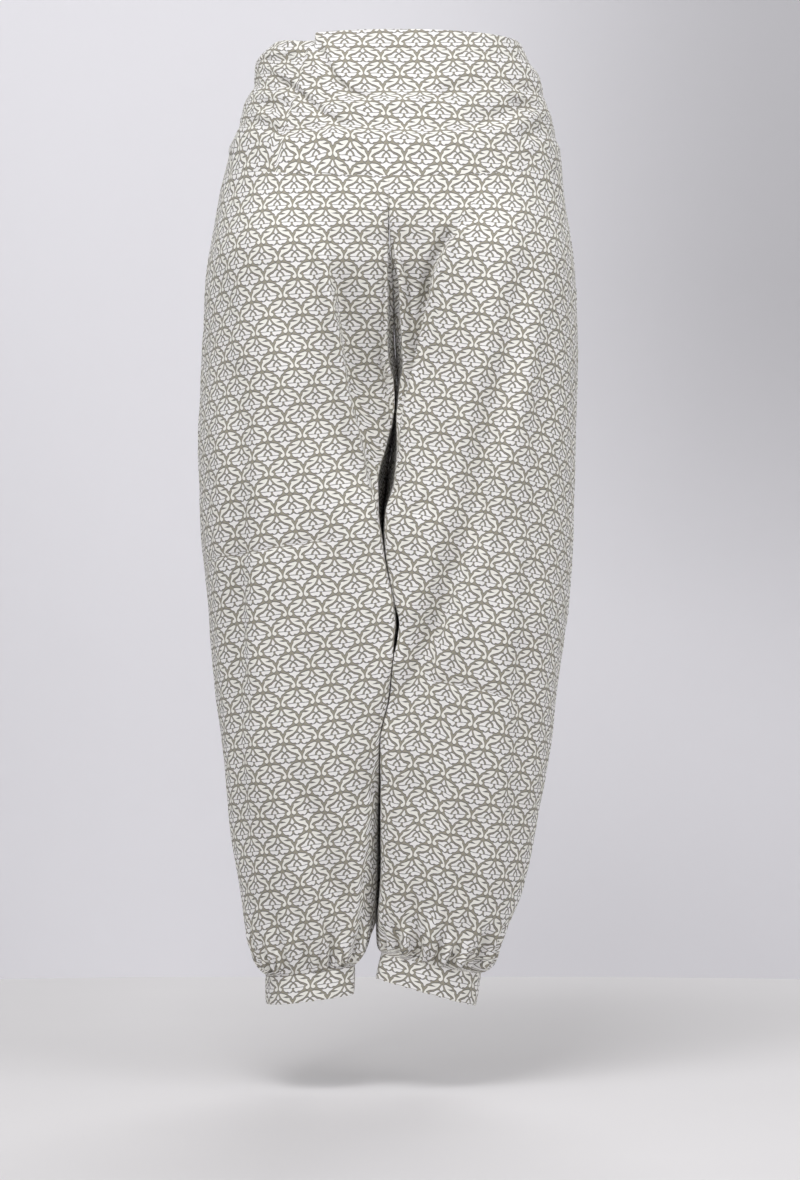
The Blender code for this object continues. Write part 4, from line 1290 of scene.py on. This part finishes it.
def cotton(name, motif, reverse=False):
    """Printed cotton, or its paler reverse."""
    material, nodes, shader, body = new_material(name)
    colour = print_colour(nodes, motif, body)
    if reverse:
        colour = nodes.mix(REVERSE_PALENESS, colour, linear(CREAM))
    patches = nodes.ramp(nodes.noise(body, scale=16.0, detail=3.0), 0.3, 0.7)
    slubs = nodes.math("MULTIPLY", nodes.noise(body, scale=900.0, detail=3.0), SLUB_SHARE)
    relief = nodes.math("ADD", weave_height(nodes), slubs)
    nodes.set(
        shader,
        Base_Color=nodes.shaded(colour, nodes.between(patches, PATCH_SHADE, 1.0)),
        Roughness=nodes.between(nodes.noise(body, scale=90.0), *COTTON_ROUGHNESS),
        Specular_IOR_Level=0.25,
        Sheen_Weight=0.12,
        Sheen_Roughness=0.55,
        Normal=nodes.bump(relief, strength=0.35, distance=0.12),
    )
    return material


def thread_material():
    material, nodes, shader, body = new_material("Cotton thread")
    tone = nodes.ramp(nodes.noise(body, scale=700.0), 0.3, 0.7)
    nodes.set(
        shader,
        Base_Color=nodes.mix(tone, linear(THREAD), linear(CREAM)),
        Roughness=0.6,
        Normal=nodes.bump(nodes.noise(body, scale=2500.0), strength=0.4, distance=0.1),
    )
    return material


def plain_material(name, colour, scale):
    """Matt paint for the room, with a trace of unevenness."""
    material, nodes, shader, body = new_material(name)
    shade = nodes.between(nodes.noise(body, scale), 0.985, 1.015)
    nodes.set(shader, Base_Color=nodes.shaded(linear(colour), shade), Roughness=0.9)
    return material, nodes, shader, body


def finish_piece(made, node, materials):
    """Gives a piece its materials and sets it in its node's place."""
    for material in materials:
        made.data.materials.append(material)
    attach(made, "root")
    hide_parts(node)
    return made


def leg_levels(face):
    """The levels of a leg panel's rows, closer together in the gathers."""
    coarse_end = CUFF_SEAM_Z + GATHER_ZONE
    coarse = round((YOKE_SEAM_Z - coarse_end) / LEG_ROW_STEP[face])
    fine = round(GATHER_ZONE / GATHER_ROW_STEP[face])
    upper = np.linspace(YOKE_SEAM_Z, coarse_end, coarse + 1)
    return np.concatenate([upper, np.linspace(coarse_end, CUFF_SEAM_Z, fine + 1)[1:]])


def make_leg_panel(side, face_name, materials):
    face = FACES[face_name]
    around = np.linspace(0.0, 1.0, LEG_COLUMNS[face] + 1)
    points, print_at = leg_surface(side, face, leg_levels(face), around)
    middle = ((outline(side, CROTCH_Z) + inner(side, CROTCH_Z)) / 2, INSEAM_Y)
    normals = grid_normals(points, False, middle)
    points, print_at = with_lips(points, print_at, normals, top=True)
    made = shell(f"leg_{side}_{face_name}_cloth", points, print_at, middle)
    return finish_piece(made, f"leg_{side}_{face_name}", materials)


def make_yoke(face_name, materials):
    """A yoke whose top edge is turned over and down inside as a casing."""
    face = FACES[face_name]
    around = np.linspace(-1.0, 1.0, YOKE_COLUMNS[face] + 1)
    casing = np.linspace(0.0, 1.0, CASING_ROWS + 1)
    below = np.linspace(1.0, 2.0, YOKE_ROWS[face] + 1)[1:]
    points, print_at = yoke_surface(face, np.concatenate([casing, below]), around)
    level = unit(grid_normals(points, False, WAIST_CENTRE) * (1.0, 1.0, 0.0))
    edge, edge_print = turned_edge(points[0], print_at[0], level[0], 1)
    kept = np.linspace(CASING_ROWS, 1, CASING_INNER_ROWS).round().astype(int)
    inside = points[kept] - level[kept] * INNER_LAYER
    inside_print = 2 * print_at[0] - print_at[kept] - (0.0, math.pi * EDGE_RADIUS)
    points[0, :, 2] -= EDGE_RADIUS
    points = np.concatenate([inside, edge[::-1], points])
    print_at = np.concatenate([inside_print, edge_print[::-1], print_at])
    normals = grid_normals(points, False, WAIST_CENTRE)
    points, print_at = with_lips(points, print_at, normals, top=False)
    made = shell(f"yoke_{face_name}_cloth", points, print_at, WAIST_CENTRE)
    return finish_piece(made, f"yoke_{face_name}", materials)


def cuff_relief(shares, columns):
    """How far a cuff swells between its edges, and ripples below its seam."""
    turn = 2 * math.pi * np.linspace(0.0, 1.0, columns)[None, :]
    fall = shares[:, None]
    uneven = 1.0 + 0.6 * np.sin(9 * turn + 1.3) * np.sin(4 * turn)
    swell = CUFF_SWELL * np.sin(math.pi * fall) * uneven
    ripple = np.cos(CUFF_RIPPLES * turn + 1.5 * np.sin(5 * turn))
    return swell + CUFF_RIPPLE_DEPTH * ripple * (1.0 - fall) ** 2


def make_cuff(side, materials):
    """A band folded double: down its outside, round the hem and up its inside."""
    around = np.linspace(0.0, 2.0, CUFF_COLUMNS_ROUND, endpoint=False)
    shares = np.linspace(0.0, 1.0, CUFF_ROWS + 1)
    rings = np.array([cuff_ring(side, around, share) for share in shares])
    rings = np.concatenate([rings, rings[:, :1]], axis=1)
    centre = tuple(rings[:, :, :2].mean(axis=(0, 1)))
    level = unit(grid_normals(rings, True, centre) * (1.0, 1.0, 0.0))
    u, v = CUFF_PRINT[side]
    u = u + SIDES[side] * running_length(rings, 1)
    v = np.broadcast_to(v + CUFF_HEIGHT * shares[:, None], u.shape)
    print_at = np.stack([u, v], axis=2)
    rings = rings + level * cuff_relief(shares, rings.shape[1])[:, :, None]
    edge, edge_print = turned_edge(rings[-1], print_at[-1], level[-1], -1)
    inside = rings[::-1] - level[::-1] * INNER_LAYER
    inside_print = 2 * print_at[-1] - print_at[::-1] + (0.0, math.pi * EDGE_RADIUS)
    rings[-1, :, 2] += EDGE_RADIUS
    inside[0, :, 2] += EDGE_RADIUS
    points = np.concatenate([rings, edge, inside])
    print_at = np.concatenate([print_at, edge_print, inside_print])
    made = shell(f"cuff_{side}_cloth", points, print_at, centre, ring=True)
    return finish_piece(made, f"cuff_{side}", materials)


def stitch_points(middle, ahead, normal):
    """The rings of points of one stitch, thinner and lower towards its two ends."""
    upward = np.cross(ahead, normal)
    points = []
    for share in np.linspace(0.0, 1.0, STITCH_RINGS):
        girth = STITCH_END_SHARE + (1.0 - STITCH_END_SHARE) * math.sin(math.pi * share)
        lift = STITCH_LIFT - STITCH_SINK * (2 * share - 1.0) ** 2
        centre = middle + ahead * STITCH_LENGTH * (share - 0.5) + normal * lift
        for angle in 2 * math.pi * np.arange(STITCH_SIDES) / STITCH_SIDES:
            out = math.cos(angle) * normal + math.sin(angle) * upward
            points.append(centre + STITCH_HALF_WIDTH * girth * out)
    return points


def stitch_faces(base):
    """The faces of one stitch whose points start at this number."""
    faces = []
    for ring in range(STITCH_RINGS - 1):
        start = base + ring * STITCH_SIDES
        for k in range(STITCH_SIDES):
            a, b = start + k, start + (k + 1) % STITCH_SIDES
            faces.append((a, b, b + STITCH_SIDES, a + STITCH_SIDES))
    last = base + (STITCH_RINGS - 1) * STITCH_SIDES
    faces.append(tuple(range(base + STITCH_SIDES - 1, base - 1, -1)))
    faces.append(tuple(range(last, last + STITCH_SIDES)))
    return faces


def make_stitches(face_name, material):
    """The casing's stitch line: short threads lying in the dip, joined into one mesh."""
    fine = np.linspace(-1.0, 1.0, STITCH_LINE_POINTS)
    rows, _ = yoke_surface(FACES[face_name], np.array([0.97, 1.0, 1.03]), fine)
    line, normals = rows[1], grid_normals(rows, False, WAIST_CENTRE)[1]
    along = lengths_along(line)

    def at(values, length):
        return np.array([np.interp(length, along, values[:, k]) for k in range(3)])

    vertices, faces = [], []
    for start in np.arange(STITCH_PITCH, along[-1] - STITCH_PITCH, STITCH_PITCH):
        faces += stitch_faces(len(vertices))
        ahead = unit(at(line, start + 0.5) - at(line, start))
        vertices += stitch_points(at(line, start), ahead, at(normals, start))
    mesh = bpy.data.meshes.new(f"casing_stitches_{face_name}")
    mesh.from_pydata([tuple(vertex * MM) for vertex in vertices], [], faces)
    mesh.shade_smooth()
    mesh.materials.append(material)
    change_mesh(mesh, bmesh.ops.recalc_face_normals, "faces")
    made = linked(mesh)
    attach(made, "root")
    return made


def backdrop_material():
    """Paint with painted shade, darker to one side and upwards, seen only from inside the room."""
    material, nodes, shader, body = plain_material("Backdrop", WALL_GREY, 3.0)
    x, _, z = nodes.apart(body)
    # Painted shade: the wall's colour darkens where it lies towards +X and high up
    painted_shade = nodes.math("MULTIPLY", nodes.ramp(x, *PAINTED_SHADE_ACROSS), nodes.ramp(z, *PAINTED_SHADE_UPWARDS))
    paint = shader.inputs["Base Color"].links[0].from_socket
    nodes.set(shader, Base_Color=nodes.shaded(paint, nodes.between(painted_shade, 1.0, 1.0 - WALL_PAINTED_SHADE)))
    see_through = nodes.add("ShaderNodeMixShader")
    nodes.feed(see_through.inputs[0], nodes.add("ShaderNodeNewGeometry").outputs["Backfacing"])
    nodes.feed(see_through.inputs[1], shader.outputs[0])
    nodes.feed(see_through.inputs[2], nodes.add("ShaderNodeBsdfTransparent").outputs[0])
    nodes.set(material.node_tree.nodes["Material Output"], Surface=see_through.outputs[0])
    return material


def make_backdrop():
    """A wall round the floor, with soft corners, that only the camera sees."""
    low = []
    for k in range(ROOM_SIDES):
        angle = 2 * math.pi * k / ROOM_SIDES
        x, y = math.cos(angle), math.sin(angle)
        reach = (abs(x) ** ROOM_SQUARENESS + abs(y) ** ROOM_SQUARENESS) ** (-1 / ROOM_SQUARENESS)
        low.append((ROOM_HALF_WIDTH * reach * x, ROOM_HALF_WIDTH * reach * y, FLOOR_Z))
    high = [(x, y, z + ROOM_HEIGHT) for x, y, z in low]
    pairs = [(k, (k + 1) % ROOM_SIDES) for k in range(ROOM_SIDES)]
    sides = [(a, ROOM_SIDES + a, ROOM_SIDES + b, b) for a, b in pairs]
    mesh = bpy.data.meshes.new("backdrop")
    mesh.from_pydata(low + high, [], sides)
    mesh.shade_smooth()
    mesh.materials.append(backdrop_material())
    wall = linked(mesh)
    wall.visible_shadow = False
    wall.visible_diffuse = False
    wall.visible_glossy = False
    return wall


def make_floor():
    mesh = bpy.data.meshes.new("floor")
    corners = ((-1, -1), (1, -1), (1, 1), (-1, 1))
    points = [(x * FLOOR_HALF_WIDTH, y * FLOOR_HALF_WIDTH, FLOOR_Z) for x, y in corners]
    mesh.from_pydata(points, [], [(0, 1, 2, 3)])
    mesh.materials.append(plain_material("Floor", FLOOR_GREY, 6.0)[0])
    return linked(mesh)


def make_lights():
    """Broad soft light from the camera's side, a little from above, and an even fill all round."""
    bpy.context.scene.view_settings.view_transform = "Standard"
    for row in LIGHTS:
        lamp = named(LIGHT_COLUMNS, row)
        data = bpy.data.lights.new(lamp["name"], "AREA")
        data.shape = "RECTANGLE"
        data.size, data.size_y = lamp["size"]
        data.energy = lamp["power"]
        light = bpy.data.objects.new(lamp["name"], data)
        light.location = lamp["place"]
        towards = Vector(LIT_POINT) - light.location
        light.rotation_euler = towards.to_track_quat("-Z", "Y").to_euler()
        bpy.context.scene.collection.objects.link(light)
    world = bpy.data.worlds.new("Studio")
    bpy.context.scene.world = world
    world.use_nodes = True
    background = world.node_tree.nodes["Background"]
    background.inputs["Color"].default_value = STUDIO_WHITE
    background.inputs["Strength"].default_value = STUDIO_STRENGTH


def make_camera():
    data = bpy.data.cameras.new("Camera")
    data.sensor_width = SENSOR
    data.lens = CAMERA_LENS
    camera = bpy.data.objects.new("Camera", data)
    camera.location = CAMERA_AT
    camera.rotation_euler = (math.radians(90.0), 0.0, 0.0)
    bpy.context.scene.collection.objects.link(camera)
    bpy.context.scene.camera = camera


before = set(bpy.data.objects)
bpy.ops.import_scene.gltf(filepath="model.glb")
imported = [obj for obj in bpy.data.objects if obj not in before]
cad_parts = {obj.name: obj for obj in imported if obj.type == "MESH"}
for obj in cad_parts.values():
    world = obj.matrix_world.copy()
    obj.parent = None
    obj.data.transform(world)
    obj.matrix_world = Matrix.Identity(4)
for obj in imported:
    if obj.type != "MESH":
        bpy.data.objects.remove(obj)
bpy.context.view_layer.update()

make_camera()
make_lights()
make_backdrop()
make_floor()

ogee = motif_group()
cloths = (cotton("Printed cotton", ogee), cotton("Printed cotton reverse", ogee, reverse=True))
thread = thread_material()

for face_name in FACES:
    yoke = make_yoke(face_name, cloths)
    stitches = make_stitches(face_name, thread)
    for side in SIDES:
        leg = make_leg_panel(side, face_name, cloths)
for side in SIDES:
    cuff = make_cuff(side, (cloths[0], cloths[0]))
